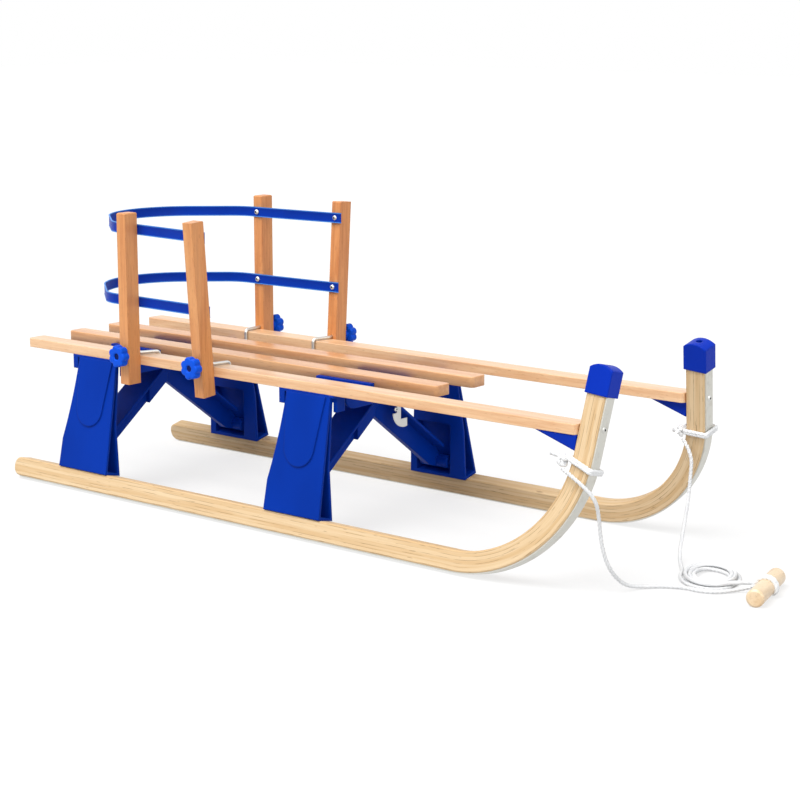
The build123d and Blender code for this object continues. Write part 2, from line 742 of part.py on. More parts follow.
def post_plane(ahead, lean):
    """The plane of a left post's inner face: its x runs outward, its y up the post."""
    tilt = radians(lean)
    return Plane(
        origin=(REAR_X + ahead, outer_slat_edge + SEAT_GAP, slat_bottom),
        x_dir=(0, cos(tilt), -sin(tilt)),
        z_dir=(1, 0, 0),
    )


def make_post(ahead, lean):
    plane = post_plane(ahead, lean)
    middle_v = (POST_TOP + post_bottom) / 2 - slat_bottom
    with BuildPart() as post:
        with BuildSketch(plane.offset(-POST_LENGTH / 2)):
            with Locations((POST_WIDTH / 2, middle_v)):
                Rectangle(POST_WIDTH, POST_TOP - post_bottom)
        extrude(amount=POST_LENGTH)
        chamfer(post.edges().group_by(Axis.Z)[-1], length=POST_CHAMFER)
        bore_start = outer_slat_edge - CUT_OVERRUN
        with BuildSketch(Plane.XZ.offset(-bore_start)):
            with Locations((REAR_X + ahead, SEAT_HEIGHT + HOOK_RISE)):
                Circle(HOOK_RADIUS + SEAT_GAP)
        extrude(amount=-(POST_WIDTH + 2 * CUT_OVERRUN), mode=Mode.SUBTRACT)
    return post.part


def knob_seat(lean):
    """The y of a post's outer face at the height of the hook bolt."""
    tilt = radians(lean)
    rise = SEAT_HEIGHT + HOOK_RISE - slat_bottom
    return outer_slat_edge + SEAT_GAP + rise * tan(tilt) + POST_WIDTH / cos(tilt)


def make_knob(ahead, lean):
    reach = KNOB_CORE_RADIUS + KNOB_LOBE_RADIUS
    seat_y = knob_seat(lean) + reach * tan(radians(lean)) + SEAT_GAP
    x = REAR_X + ahead
    z = SEAT_HEIGHT + HOOK_RISE
    with BuildPart() as knob:
        with BuildSketch(Plane.XZ.offset(-seat_y)):
            with Locations((x, z)):
                Circle(KNOB_CORE_RADIUS)
                with PolarLocations(KNOB_CORE_RADIUS, KNOB_LOBES):
                    Circle(KNOB_LOBE_RADIUS)
        extrude(amount=-KNOB_THICKNESS)
        chamfer(knob.edges().group_by(Axis.Y)[-1], length=KNOB_SOFTENING)
        hub = Plane(origin=(x, seat_y + KNOB_THICKNESS, z), x_dir=(1, 0, 0), z_dir=(0, 1, 0))
        with BuildSketch(hub):
            Circle(KNOB_HUB_RADIUS)
        with BuildSketch(hub.offset(KNOB_HUB_LENGTH)):
            Circle(KNOB_HUB_TOP)
        loft()
        with BuildSketch(Plane.XZ.offset(-seat_y)):
            with Locations((x, z)):
                Circle(HOOK_RADIUS + PIN_GAP)
        extrude(amount=-(KNOB_THICKNESS + KNOB_HUB_LENGTH), mode=Mode.SUBTRACT)
    return knob.part


def make_hook(ahead, hook_offset, lean):
    """The bolt that hooks over the outer slat and pulls the post against it."""
    x = REAR_X + ahead
    z = SEAT_HEIGHT + HOOK_RISE
    outer_end = knob_seat(lean) + KNOB_THICKNESS + KNOB_HUB_LENGTH - HOOK_END_DEPTH
    inner_y = outer_slat_inner - SEAT_GAP - HOOK_RADIUS
    with BuildPart() as hook:
        with BuildLine() as path:
            FilletPolyline(
                (x, outer_end, z),
                (x, outer_slat_edge - HOOK_BEND, z),
                (x + hook_offset, inner_y, z),
                (x + hook_offset, inner_y, z - HOOK_TIP_DROP),
                radius=HOOK_BEND,
            )
        with BuildSketch(Plane(origin=(x, outer_end, z), z_dir=(0, -1, 0))):
            Circle(HOOK_RADIUS)
        sweep()
    return hook.part


def post_value(side, name, column):
    """One value of the post of this side and name."""
    rows = [dict(zip(POST_COLUMNS, row)) for row in POST_ROWS]
    return next(row[column] for row in rows if (row["side"], row["name"]) == (side, name))


def band_side(side, height):
    """Where a band leaves the rear post's width and where it ends past the front post."""
    side_y = outer_slat_edge - BAND_THICKNESS / 2
    lean = radians(post_value(side, "front", "lean"))
    end_y = side_y + (height - BAND_HEIGHT / 2 - slat_bottom) * tan(lean)
    rear_post_end = post_value(side, "rear", "ahead") + POST_LENGTH / 2
    front_post_middle = post_value(side, "front", "ahead")
    splay = (REAR_X + rear_post_end + BAND_SPLAY_GAP, side_y)
    end = (REAR_X + front_post_middle + BAND_PAST_MIDDLE[side], end_y)
    return splay, end


def make_band(height, back_ahead, corner_ahead):
    """A springy band bent round the back and bolted to the posts' inner faces."""
    side_y = outer_slat_edge - BAND_THICKNESS / 2
    corner_x = REAR_X + corner_ahead
    centre_x = REAR_X + back_ahead + BAND_BACK_RADIUS
    # The sides run straight from their corners and touch the back arc
    reach = hypot(corner_x - centre_x, side_y)
    bearing = atan2(side_y, corner_x - centre_x) + acos(BAND_BACK_RADIUS / reach)
    apex_x = centre_x + BAND_BACK_RADIUS / cos(bearing)
    right_splay, right_end = band_side("right", height)
    left_splay, left_end = band_side("left", height)
    with BuildPart() as band:
        with BuildLine(Plane.XY.offset(height)):
            FilletPolyline(
                (right_end[0], -right_end[1]),
                (right_splay[0], -side_y),
                (corner_x, -side_y),
                (apex_x, 0),
                (corner_x, side_y),
                left_splay,
                left_end,
                radius=[
                    BAND_SPLAY_RADIUS,
                    BAND_SIDE_RADIUS,
                    BAND_BACK_RADIUS,
                    BAND_SIDE_RADIUS,
                    BAND_SPLAY_RADIUS,
                ],
            )
        run = Vector(right_splay[0] - right_end[0], right_end[1] - side_y, 0)
        start = (right_end[0], -right_end[1], height)
        with BuildSketch(Plane(origin=start, x_dir=(0, 0, 1), z_dir=run)):
            Rectangle(BAND_HEIGHT, BAND_THICKNESS)
        sweep()
    return band.part


def rope_turn_plane():
    """The plane square to the left horn, where the rope is tied round it."""
    inset = runner_depth / 2
    along = (ROPE_TURN_HEIGHT - outer_edge_z) / cos(cant)
    rise = along - bend_point(inset, BEND_ANGLE)[1]
    turn = acos(cos(radians(BEND_ANGLE)) - rise / (HORN_RADIUS - inset))
    x, v = bend_point(inset, degrees(turn))
    origin = CANTED.from_local_coords((x, v, RUNNER_WIDTH / 2))
    up = CANTED.x_dir * cos(turn) + CANTED.y_dir * sin(turn)
    return Plane(origin=origin, x_dir=CANTED.z_dir, z_dir=up)


def make_rope_turn():
    """The turns of rope and the knot on the left horn, drawn as one plain ring."""
    plane = rope_turn_plane()
    inner = (RUNNER_WIDTH + 2 * SEAT_GAP, runner_depth + 2 * SEAT_GAP)
    outer = (inner[0] + 4 * ROPE_RADIUS, inner[1] + 4 * ROPE_RADIUS)
    with BuildPart() as turn:
        with BuildSketch(plane.offset(-ROPE_TURN_LENGTH / 2)):
            RectangleRounded(outer[0], outer[1], 2 * ROPE_RADIUS)
            Rectangle(inner[0], inner[1], mode=Mode.SUBTRACT)
        extrude(amount=ROPE_TURN_LENGTH)
    return turn.part


# Rope routes, chosen by hand: distance ahead of the rear end, y and z of each point
RIGHT_STRAND = (
    (1045.0, -164.5, 166.0),
    (1071.0, -167.0, 154.0),
    (1093.0, -160.0, 133.0),
    (1090.0, -146.0, 108.0),
    (1091.0, -141.0, 68.0),
    (1099.0, -133.0, 34.0),
    (1106.0, -108.0, 9.0),
    (1116.0, -83.0, 3.5),
    (1137.0, -61.0, 3.5),
    (1163.5, -46.8, 3.5),
)
LEFT_STRAND = (
    (1050.0, 124.0, 156.0),
    (1066.0, 124.0, 138.0),
    (1066.0, 121.0, 103.0),
    (1070.0, 109.0, 68.0),
    (1077.0, 87.0, 36.0),
    (1089.0, 58.0, 11.0),
    (1113.0, 22.0, 3.5),
)
HANDLE_LEAD = (
    (1217.5, -1.5, 4.5),
    (1232.0, -1.0, 8.0),
    (1245.6, -5.3, 11.0),
)
ARC_SHARE = 0.45


def strand_radii(points):
    """One radius for each corner: as large as its two runs allow."""
    radii = []
    for before, here, after in zip(points, points[1:], points[2:]):
        run_in = Vector(here) - Vector(before)
        run_out = Vector(after) - Vector(here)
        turn = radians(run_in.get_angle(run_out))
        radii.append(ARC_SHARE * min(run_in.length, run_out.length) / tan(turn / 2))
    return radii


def make_strand(route, label):
    points = [(REAR_X + ahead, y, z) for ahead, y, z in route]
    radii = strand_radii(points)
    print(label, "radii", [round(r, 1) for r in radii])
    with BuildPart() as strand:
        with BuildLine() as path:
            FilletPolyline(*points, radius=radii)
        heading = Vector(points[1]) - Vector(points[0])
        with BuildSketch(Plane(origin=points[0], z_dir=heading)):
            Circle(ROPE_RADIUS)
        sweep()
    length = path.wire().length
    print(label, "length", round(length, 1), "volume", round(strand.part.volume, 1))
    print(label, "section times length", round(pi * ROPE_RADIUS**2 * length, 1))
    return strand.part


def make_coil():
    with BuildPart() as coil:
        with BuildSketch():
            with Locations((REAR_X + COIL_AHEAD, COIL_Y)):
                Ellipse(COIL_LENGTH / 2, COIL_WIDTH / 2, rotation=COIL_TURN)
        extrude(amount=COIL_HEIGHT)
        chamfer(coil.edges().group_by(Axis.Z)[-1], length=COIL_SOFTENING)
    return coil.part


def make_handle():
    turn = radians(HANDLE_TURN)
    axis = Plane(
        origin=(REAR_X + HANDLE_AHEAD, HANDLE_Y, HANDLE_RADIUS),
        x_dir=(0, 0, 1),
        z_dir=(-sin(turn), cos(turn), 0),
    )
    with BuildPart() as handle:
        with BuildSketch(axis.offset(-HANDLE_LENGTH / 2)):
            Circle(HANDLE_RADIUS)
        extrude(amount=HANDLE_LENGTH)
        chamfer(handle.edges().filter_by(GeomType.CIRCLE), length=HANDLE_SOFTENING)
    return handle.part


save_pair(make_runner(), "runner")
save_pair(make_shoe(), "shoe")
save_pair(make_cap(), "horn_cap")
save_pair(make_outer_slat(), "outer_slat")
save_pair(make_inner_slat(), "inner_slat")
save_pair(make_gusset(), "horn_gusset")

for trestle_name, setback in (("rear", REAR_TRESTLE_SETBACK), ("front", FRONT_TRESTLE_SETBACK)):
    trestle_x = REAR_X + setback
    save_pair(make_leg(trestle_x), f"leg_{trestle_name}")
    save(make_beam_half(trestle_x, has_pin=False), f"crossbeam_{trestle_name}_left")
    right_beam = mirror(make_beam_half(trestle_x, has_pin=True), about=Plane.XZ)
    save(right_beam, f"crossbeam_{trestle_name}_right")
    save(make_strut(trestle_x, has_tongue=True), f"strut_{trestle_name}_left")
    right_strut = mirror(make_strut(trestle_x, has_tongue=False), about=Plane.XZ)
    save(right_strut, f"strut_{trestle_name}_right")
save(make_latch(REAR_X + FRONT_TRESTLE_SETBACK), "latch_hook")

for side, name, ahead, hook_offset, lean in POST_ROWS:
    pieces = {
        "post": make_post(ahead, lean),
        "knob": make_knob(ahead, lean),
        "hook": make_hook(ahead, hook_offset, lean),
    }
    for stem, piece in pieces.items():
        if side == "right":
            piece = mirror(piece, about=Plane.XZ)
        save(piece, f"{stem}_{name}_{side}")

for name, drop, back_ahead, corner_ahead in BAND_ROWS:
    save(make_band(POST_TOP - drop, back_ahead, corner_ahead), f"backrest_band_{name}")

save_pair(make_rope_turn(), "rope_knot")
save(make_strand(RIGHT_STRAND, "rope_strand_right"), "rope_strand_right")
save(make_strand(LEFT_STRAND, "rope_strand_left"), "rope_strand_left")
save(make_strand(HANDLE_LEAD, "rope_lead"), "rope_lead")
save(make_coil(), "rope_coil")
save(make_handle(), "rope_handle")
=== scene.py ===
"""A folding wooden sled with a clamped backrest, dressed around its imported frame.

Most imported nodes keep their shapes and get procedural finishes. The runners, inner
slats, bands, knobs, rope, knots and small fasteners are modelled here and stand for the
plain solids that they replace.
"""

import logging
import math
from dataclasses import dataclass, replace
from enum import Enum

import bmesh
import bpy
from mathutils import Matrix, Vector


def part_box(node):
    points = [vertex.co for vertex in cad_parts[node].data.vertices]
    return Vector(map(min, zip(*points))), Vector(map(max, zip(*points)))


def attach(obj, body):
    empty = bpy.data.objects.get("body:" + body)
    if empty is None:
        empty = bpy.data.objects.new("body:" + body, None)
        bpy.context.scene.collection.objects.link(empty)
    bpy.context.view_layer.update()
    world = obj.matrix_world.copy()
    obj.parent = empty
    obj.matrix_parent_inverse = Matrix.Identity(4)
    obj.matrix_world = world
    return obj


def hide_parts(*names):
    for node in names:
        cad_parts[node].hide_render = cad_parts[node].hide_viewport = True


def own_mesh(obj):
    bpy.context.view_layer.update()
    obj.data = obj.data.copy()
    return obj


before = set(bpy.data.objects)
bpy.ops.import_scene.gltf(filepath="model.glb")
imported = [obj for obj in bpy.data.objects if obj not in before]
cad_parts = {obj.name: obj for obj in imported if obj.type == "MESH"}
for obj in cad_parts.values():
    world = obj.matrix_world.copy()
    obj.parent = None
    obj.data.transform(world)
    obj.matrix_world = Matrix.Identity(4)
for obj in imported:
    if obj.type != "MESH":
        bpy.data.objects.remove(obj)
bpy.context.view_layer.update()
LOG = logging.getLogger("sled")

Triple = tuple[float, float, float]
Colour = tuple[float, float, float, float]
Finishes = dict[str, bpy.types.Material]

REAR_X = -0.5475
CANT = math.radians(12.4)
MILLIMETRE = 0.001
MERGE_WITHIN = 0.00002
SMOOTH_BELOW = math.radians(38)
SHARP_ABOVE = math.radians(60)
ORIGIN = (0.0, 0.0, 0.0)
UNSCALED = (1.0, 1.0, 1.0)
UPWARD = (0.0, 0.0, 1.0)
WHITE = (1.0, 1.0, 1.0, 1.0)


class Side(Enum):
    """The sled's two sides, with the sign of their y."""

    RIGHT = -1
    LEFT = 1

    @property
    def word(self) -> str:
        """The side's name as it stands in the nodes' names."""
        return self.name.lower()

    @property
    def body(self) -> str:
        """The body that the side's fixed pieces ride on."""
        return f"side_{self.word}"


class Grain(Enum):
    """The axis that a straight piece of wood was cut along."""

    ALONG_X = (0.05, 1.0, 1.0)
    ALONG_Y = (1.0, 0.05, 1.0)
    ALONG_Z = (1.0, 1.0, 0.05)


def srgb(tone: Triple) -> Colour:
    """Turn a display colour into the linear one that a shader takes.

    Args:
        tone: Red, green and blue from 0 to 255.

    Returns:
        The linear colour with an alpha of 1.
    """
    linear = []
    for value in tone:
        share = value / 255
        if share <= 0.04045:
            linear.append(share / 12.92)
        else:
            linear.append(((share + 0.055) / 1.055) ** 2.4)
    return (linear[0], linear[1], linear[2], 1.0)


class Wire:
    """A shader socket that Python's operators join into Math nodes."""

    def __init__(self, graph: "Graph", socket: bpy.types.NodeSocket) -> None:
        """Hold a socket of a graph."""
        self.graph = graph
        self.socket = socket

    def math(self, operation: str, first: object, second: object = 0.0) -> "Wire":
        """Add one Math node.

        Args:
            operation: The node's operation.
            first: A wire or a number.
            second: A wire or a number.

        Returns:
            The node's result.
        """
        sockets = {0: first, 1: second}
        node = self.graph.node("ShaderNodeMath", {"operation": operation}, sockets)
        return Wire(self.graph, node.outputs[0])

    def __add__(self, other: object) -> "Wire":
        """Add a wire or a number."""
        return self.math("ADD", self, other)

    __radd__ = __add__

    def __sub__(self, other: object) -> "Wire":
        """Take a wire or a number away."""
        return self.math("SUBTRACT", self, other)

    def __rsub__(self, other: object) -> "Wire":
        """Take this wire away from a number."""
        return self.math("SUBTRACT", other, self)

    def __mul__(self, other: object) -> "Wire":
        """Multiply by a wire or a number."""
        return self.math("MULTIPLY", self, other)

    __rmul__ = __mul__

    def __truediv__(self, other: object) -> "Wire":
        """Divide by a wire or a number."""
        return self.math("DIVIDE", self, other)

    def __rtruediv__(self, other: object) -> "Wire":
        """Divide a number by this wire."""
        return self.math("DIVIDE", other, self)

    def step(self, low: float, high: float) -> "Wire":
        """Rise smoothly from 0 at low to 1 at high.

        Args:
            low: The value that gives 0.
            high: The value that gives 1.

        Returns:
            The risen value.
        """
        settings = {"interpolation_type": "SMOOTHSTEP"}
        sockets = {"Value": self, "From Min": low, "From Max": high}
        node = self.graph.node("ShaderNodeMapRange", settings, sockets)
        return Wire(self.graph, node.outputs["Result"])


class Graph:
    """The node tree of a material or of the world."""

    def __init__(self, owner: bpy.types.Material | bpy.types.World) -> None:
        """Start with an empty node tree.

        Args:
            owner: The material or the world.
        """
        self.owner = owner
        owner.use_nodes = True
        self.tree = owner.node_tree
        self.tree.nodes.clear()

    @classmethod
    def of_material(cls, name: str) -> "Graph":
        """Start a new material of this name."""
        return cls(bpy.data.materials.new(name))

    def node(
        self, kind: str, settings: dict | None = None, sockets: dict | None = None
    ) -> bpy.types.Node:
        """Add a node, with its settings set before its sockets.

        Args:
            kind: The node's type.
            settings: The node's own settings by name.
            sockets: A value, a wire or an output socket for each input.

        Returns:
            The new node.
        """
        node = self.tree.nodes.new(kind)
        for key, value in (settings or {}).items():
            setattr(node, key, value)
        for key, value in (sockets or {}).items():
            source = value.socket if isinstance(value, Wire) else value
            if isinstance(source, bpy.types.NodeSocket):
                self.tree.links.new(source, node.inputs[key])
            else:
                node.inputs[key].default_value = source
        return node

    def object_place(
        self, scale: Triple = UNSCALED, shift: Triple = ORIGIN
    ) -> bpy.types.NodeSocket:
        """Object coordinates, scaled and shifted by a Mapping node."""
        source = self.node("ShaderNodeTexCoord").outputs["Object"]
        return self.place(source, scale, shift)

    def place(
        self, source: bpy.types.NodeSocket, scale: Triple, shift: Triple = ORIGIN
    ) -> bpy.types.NodeSocket:
        """Scale and shift a vector by a Mapping node."""
        sockets = {"Vector": source, "Scale": scale, "Location": shift}
        return self.node("ShaderNodeMapping", None, sockets).outputs["Vector"]

    def noise(
        self,
        vector: bpy.types.NodeSocket,
        scale: float,
        detail: float = 2.0,
        rough: float = 0.5,
    ) -> Wire:
        """A noise value between 0 and 1.

        Args:
            vector: The place to read it at.
            scale: Its features in a metre.
            detail: Its finer octaves.
            rough: The strength of the finer octaves.

        Returns:
            The value.
        """
        sockets = {
            "Vector": vector, "Scale": scale, "Detail": detail, "Roughness": rough
        }
        return Wire(self, self.node("ShaderNodeTexNoise", None, sockets).outputs[0])

    def mix(self, factor: object, first: object, second: object) -> object:
        """Mix two colours.

        Args:
            factor: The share of the second colour.
            first: A colour or a socket.
            second: A colour or a socket.

        Returns:
            The mixed colour's socket.
        """
        sockets = {0: factor, 6: first, 7: second}
        return self.node("ShaderNodeMix", {"data_type": "RGBA"}, sockets).outputs[2]

    def softened(self, radius: float) -> bpy.types.NodeSocket:
        """A normal that rounds the sharp edges by this radius."""
        bevel = self.node("ShaderNodeBevel", {"samples": 6}, {"Radius": radius})
        return bevel.outputs[0]

    def bump(
        self, height: Wire, distance: float, normal: object = None
    ) -> bpy.types.NodeSocket:
        """Bump a surface by a height.

        Args:
            height: The height, from 0 to 1.
            distance: The depth of the relief in metres.
            normal: A normal socket to start from.

        Returns:
            The bumped normal.
        """
        sockets = {"Height": height, "Distance": distance, "Strength": 1.0}
        if normal is not None:
            sockets["Normal"] = normal
        return self.node("ShaderNodeBump", None, sockets).outputs[0]

    def finish(self, **sockets: object) -> bpy.types.Material:
        """Close the material with one Principled shader.

        Args:
            **sockets: Values or links of the shader, with _ for a blank.

        Returns:
            The material.
        """
        named = {key.replace("_", " "): value for key, value in sockets.items()}
        shader = self.node("ShaderNodeBsdfPrincipled", None, named)
        self.node("ShaderNodeOutputMaterial", None, {"Surface": shader.outputs[0]})
        return self.owner


@dataclass(frozen=True)
class BeechFinish:
    """Steamed beech with fine fibres and short dark flecks."""

    tone: Triple = (234, 192, 148)
    dark: Triple = (204, 142, 92)
    pale: Triple = (246, 222, 190)
    grain: Grain = Grain.ALONG_X
    seed: float = 0.0
    seed_step: Triple = (0.371, 0.713, 0.519)
    roughness: float = 0.4
    lacquer: float = 0.6
    clouds_per_metre: float = 26.0
    rings_per_metre: float = 150.0
    fibres_per_metre: float = 1100.0
    flecks_per_metre: float = 620.0
    fleck_stretch: float = 0.14
    fleck_shade: float = 0.8
    relief: float = 0.00012
    edge: float = 0.0014

    def material(self, name: str) -> bpy.types.Material:
        """Build the wood for one piece.

        Args:
            name: The material's name.

        Returns:
            The material.
        """
        graph = Graph.of_material(name)
        shift = tuple(self.seed * step for step in self.seed_step)
        fibre = graph.object_place(self.grain.value, shift)
        fleck_scale = tuple(
            self.fleck_stretch if share < 1 else 1.0 for share in self.grain.value
        )
        dashes = graph.object_place(fleck_scale, shift)
        clouds = graph.noise(fibre, self.clouds_per_metre)
        rings = graph.noise(fibre, self.rings_per_metre, 3.0, 0.6)
        fibres = graph.noise(fibre, self.fibres_per_metre, 2.0, 0.6)
        flecks = graph.noise(dashes, self.flecks_per_metre, 1.0).step(0.66, 0.74)
        tone, dark = srgb(self.tone), srgb(self.dark)
        deep = srgb(tuple(self.fleck_shade * value for value in self.dark))
        base = graph.mix(rings.step(0.35, 0.7) * 0.55, tone, dark)
        base = graph.mix(clouds.step(0.45, 0.75) * 0.5, base, srgb(self.pale))
        base = graph.mix(fibres.step(0.4, 0.8) * 0.22, base, dark)
        base = graph.mix(flecks * 0.35, base, deep)
        height = rings * 0.5 + fibres * 0.35
        return graph.finish(
            Base_Color=base,
            Roughness=self.roughness + fibres * 0.12,
            Normal=graph.bump(height, self.relief, graph.softened(self.edge)),
            Specular_IOR_Level=0.45,
            Coat_Weight=self.lacquer,
            Coat_Roughness=0.22,
        )


@dataclass(frozen=True)
class LaminatedFinish:
    """Bent plies of pale ash and beech with thin, broken glue lines.

    The pattern follows the piece's "grain" attribute: along the bend, through it and
    across.
    """

    ply: float = 0.0048
    side_tone: Triple = (220, 192, 152)
    ply_tone: Triple = (204, 168, 120)
    pale_tone: Triple = (230, 208, 173)
    glue_tone: Triple = (122, 84, 46)
    knot_tone: Triple = (120, 78, 40)
    fibres_per_metre: float = 900.0
    bands_per_metre: float = 210.0
    flecks_per_metre: float = 420.0
    knots_per_metre: float = 95.0
    drifts_per_metre: float = 9.0
    breaks_per_metre: float = 24.0
    relief: float = 0.00012

    def material(self, name: str) -> bpy.types.Material:
        """Build the laminated wood.

        Args:
            name: The material's name.

        Returns:
            The material.
        """
        graph = Graph.of_material(name)
        settings = {"attribute_name": "grain", "attribute_type": "GEOMETRY"}
        grain = graph.node("ShaderNodeAttribute", settings).outputs["Vector"]
        parts = graph.node("ShaderNodeSeparateXYZ", None, {0: grain}).outputs

        def streaks(
            stretch: Triple, scale: float, detail: float = 2.0, rough: float = 0.5
        ) -> Wire:
            """Noise that is stretched in the grain's own directions."""
            return graph.noise(graph.place(grain, stretch), scale, detail, rough)

        drift = streaks((1.0, 0.2, 0.4), self.drifts_per_metre, 1.0)
        depth = Wire(graph, parts["Y"]) / self.ply + drift * 0.35
        away = depth.math("PINGPONG", depth, 0.5)
        broken = streaks((1.0, 9.0, 2.0), self.breaks_per_metre).step(0.44, 0.6)
        glue = (1.0 - away.step(0.02, 0.085)) * broken
        layer = depth.math("FLOOR", depth)
        settings = {"noise_dimensions": "1D"}
        toss = graph.node("ShaderNodeTexWhiteNoise", settings, {"W": layer})
        fibres = streaks((0.02, 1.0, 1.0), self.fibres_per_metre, 3.0, 0.6)
        bands = streaks((0.03, 1.0, 1.0), self.bands_per_metre)
        flecks = streaks((0.12, 1.0, 1.0), self.flecks_per_metre, 1.0).step(0.69, 0.75)
        knotty = graph.place(grain, (0.22, 1.0, 1.0), (0.3, 0.1, 0.2))
        knots = graph.noise(knotty, self.knots_per_metre, 1.0)
        ply_tone, glue_tone = srgb(self.ply_tone), srgb(self.glue_tone)
        share = Wire(graph, toss.outputs["Value"]) * 0.75
        base = graph.mix(share, srgb(self.side_tone), ply_tone)
        base = graph.mix(bands.step(0.4, 0.75) * 0.6, base, srgb(self.pale_tone))
        base = graph.mix(fibres.step(0.45, 0.8) * 0.3, base, ply_tone)
        base = graph.mix(glue * 0.7, base, glue_tone)
        base = graph.mix(flecks * 0.4, base, glue_tone)
        base = graph.mix(knots.step(0.74, 0.8) * 0.55, base, srgb(self.knot_tone))
        height = fibres * 0.5 + (1.0 - glue) * 0.5
        return graph.finish(
            Base_Color=base,
            Roughness=0.42 + fibres * 0.14,
            Normal=graph.bump(height, self.relief),
            Specular_IOR_Level=0.25,
        )


@dataclass(frozen=True)
class PlasticFinish:
    """Moulded plastic with a fine orange peel."""

    tone: Triple = (13, 58, 168)
    shade: Triple = (8, 42, 134)
    roughness: float = 0.34
    edge: float = 0.0015
    gloss: float = 0.1
    flow_stretch: Triple = (1.0, 1.0, 0.35)
    flows_per_metre: float = 14.0
    peel_per_metre: float = 900.0
    dust_per_metre: float = 70.0
    relief: float = 0.00004

    def material(self, name: str) -> bpy.types.Material:
        """Build the plastic.

        Args:
            name: The material's name.

        Returns:
            The material.
        """
        graph = Graph.of_material(name)
        place = graph.object_place()
        flow = graph.noise(graph.place(place, self.flow_stretch), self.flows_per_metre)
        peel = graph.noise(place, self.peel_per_metre)
        dust = graph.noise(place, self.dust_per_metre, 3.0, 0.7)
        share = flow.step(0.35, 0.75) * 0.5
        return graph.finish(
            Base_Color=graph.mix(share, srgb(self.tone), srgb(self.shade)),
            Roughness=self.roughness + dust * 0.14,
            Normal=graph.bump(peel, self.relief, graph.softened(self.edge)),
            Specular_IOR_Level=self.gloss,
        )


@dataclass(frozen=True)
class SteelFinish:
    """Zinc-plated or plain rolled steel."""

    tone: Triple = (214, 214, 210)
    stain: Triple = (150, 146, 138)
    stretch: Triple = UNSCALED
    roughness: float = 0.3
    edge: float = 0.0004
    clouds_per_metre: float = 60.0
    scratches_per_metre: float = 1500.0
    relief: float = 0.00002

    def material(self, name: str) -> bpy.types.Material:
        """Build the steel.

        Args:
            name: The material's name.

        Returns:
            The material.
        """
        graph = Graph.of_material(name)
        place = graph.object_place(self.stretch)
        clouds = graph.noise(place, self.clouds_per_metre, 3.0, 0.65)
        scratches = graph.noise(place, self.scratches_per_metre)
        share = clouds.step(0.5, 0.8) * 0.5
        return graph.finish(
            Base_Color=graph.mix(share, srgb(self.tone), srgb(self.stain)),
            Metallic=1.0,
            Roughness=self.roughness + clouds * 0.18,
            Normal=graph.bump(scratches, self.relief, graph.softened(self.edge)),
        )


@dataclass(frozen=True)
class RopeFinish:
    """White polypropylene rope with fine filaments along its strands."""

    tone: Triple = (236, 237, 238)
    shade: Triple = (204, 206, 210)
    hairs_per_metre: float = 1800.0
    grime_per_metre: float = 45.0
    relief: float = 0.00015

    def material(self, name: str) -> bpy.types.Material:
        """Build the rope.

        Args:
            name: The material's name.

        Returns:
            The material.
        """
        graph = Graph.of_material(name)
        place = graph.object_place()
        hair = graph.noise(place, self.hairs_per_metre, 3.0, 0.7)
        grime = graph.noise(place, self.grime_per_metre)
        shade = srgb(self.shade)
        base = graph.mix(grime.step(0.45, 0.8) * 0.35, srgb(self.tone), shade)
        return graph.finish(
            Base_Color=graph.mix(hair.step(0.5, 0.8) * 0.25, base, shade),
            Roughness=0.62 + hair * 0.2,
            Normal=graph.bump(hair, self.relief),
            Specular_IOR_Level=0.2,
        )


@dataclass(frozen=True)
class PaintedRecessShade:
    """Painted shade for the inside of a screw's recess, with a faint mottle."""

    tone: Triple = (28, 28, 30)
    pale_shade: Triple = (60, 60, 62)
    mottle_per_metre: float = 500.0

    def material(self, name: str) -> bpy.types.Material:
        """Build the painted shade.

        Args:
            name: The material's name.

        Returns:
            The material.
        """
        graph = Graph.of_material(name)
        # A faint mottle between two tones of the painted shade.
        mottle = graph.noise(graph.object_place(), self.mottle_per_metre)
        base = graph.mix(mottle, srgb(self.tone), srgb(self.pale_shade))
        return graph.finish(Base_Color=base, Roughness=0.7)


def link(name: str, data: bpy.types.ID) -> bpy.types.Object:
    """Put new data into the scene as an object at the origin.

    Args:
        name: The object's name.
        data: Its mesh, curve, light or camera.

    Returns:
        The new object.
    """
    holder = bpy.data.objects.new(name, data)
    bpy.context.scene.collection.objects.link(holder)
    return holder


def show(name: str, bm: bmesh.types.BMesh) -> bpy.types.Object:
    """Turn a finished bmesh into a linked object.

    Args:
        name: The piece's name.
        bm: The mesh, which is freed.

    Returns:
        The new object at the origin.
    """
    bmesh.ops.recalc_face_normals(bm, faces=bm.faces)
    mesh = bpy.data.meshes.new(name)
    bm.to_mesh(mesh)
    bm.free()
    for polygon in mesh.polygons:
        polygon.use_smooth = True
    mesh.set_sharp_from_angle(angle=SMOOTH_BELOW)
    return link(name, mesh)


def even_shading(piece: bpy.types.Object) -> None:
    """Keep a bevelled piece's flat faces flat to the light."""
    modifier = piece.modifiers.new("even_shading", "WEIGHTED_NORMAL")
    modifier.keep_sharp = True


def dress(
    piece: bpy.types.Object, body: str, slot: str, *materials: bpy.types.Material
) -> None:
    """Give a new piece its materials and its body.

    Args:
        piece: The piece.
        body: The body that it rides on.
        slot: The record's material slot; not used.
        *materials: Its materials in the order of their indices.
    """
    for material in materials:
        piece.data.materials.append(material)
    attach(piece, body)


def repaint(name: str, material: bpy.types.Material) -> None:
    """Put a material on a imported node's own slots.

    Args:
        name: The node's name.
        material: The material.
    """
    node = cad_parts[name]
    if not node.material_slots:
        node.data.materials.append(material)
    for place in node.material_slots:
        place.material = material


def merged_copy(node: str) -> bmesh.types.BMesh:
    """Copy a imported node's mesh and merge its loose triangles.

    Args:
        node: The node's name.

    Returns:
        The copy.
    """
    bm = bmesh.new()
    bm.from_mesh(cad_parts[node].data)
    bmesh.ops.remove_doubles(bm, verts=bm.verts, dist=MERGE_WITHIN)
    return bm


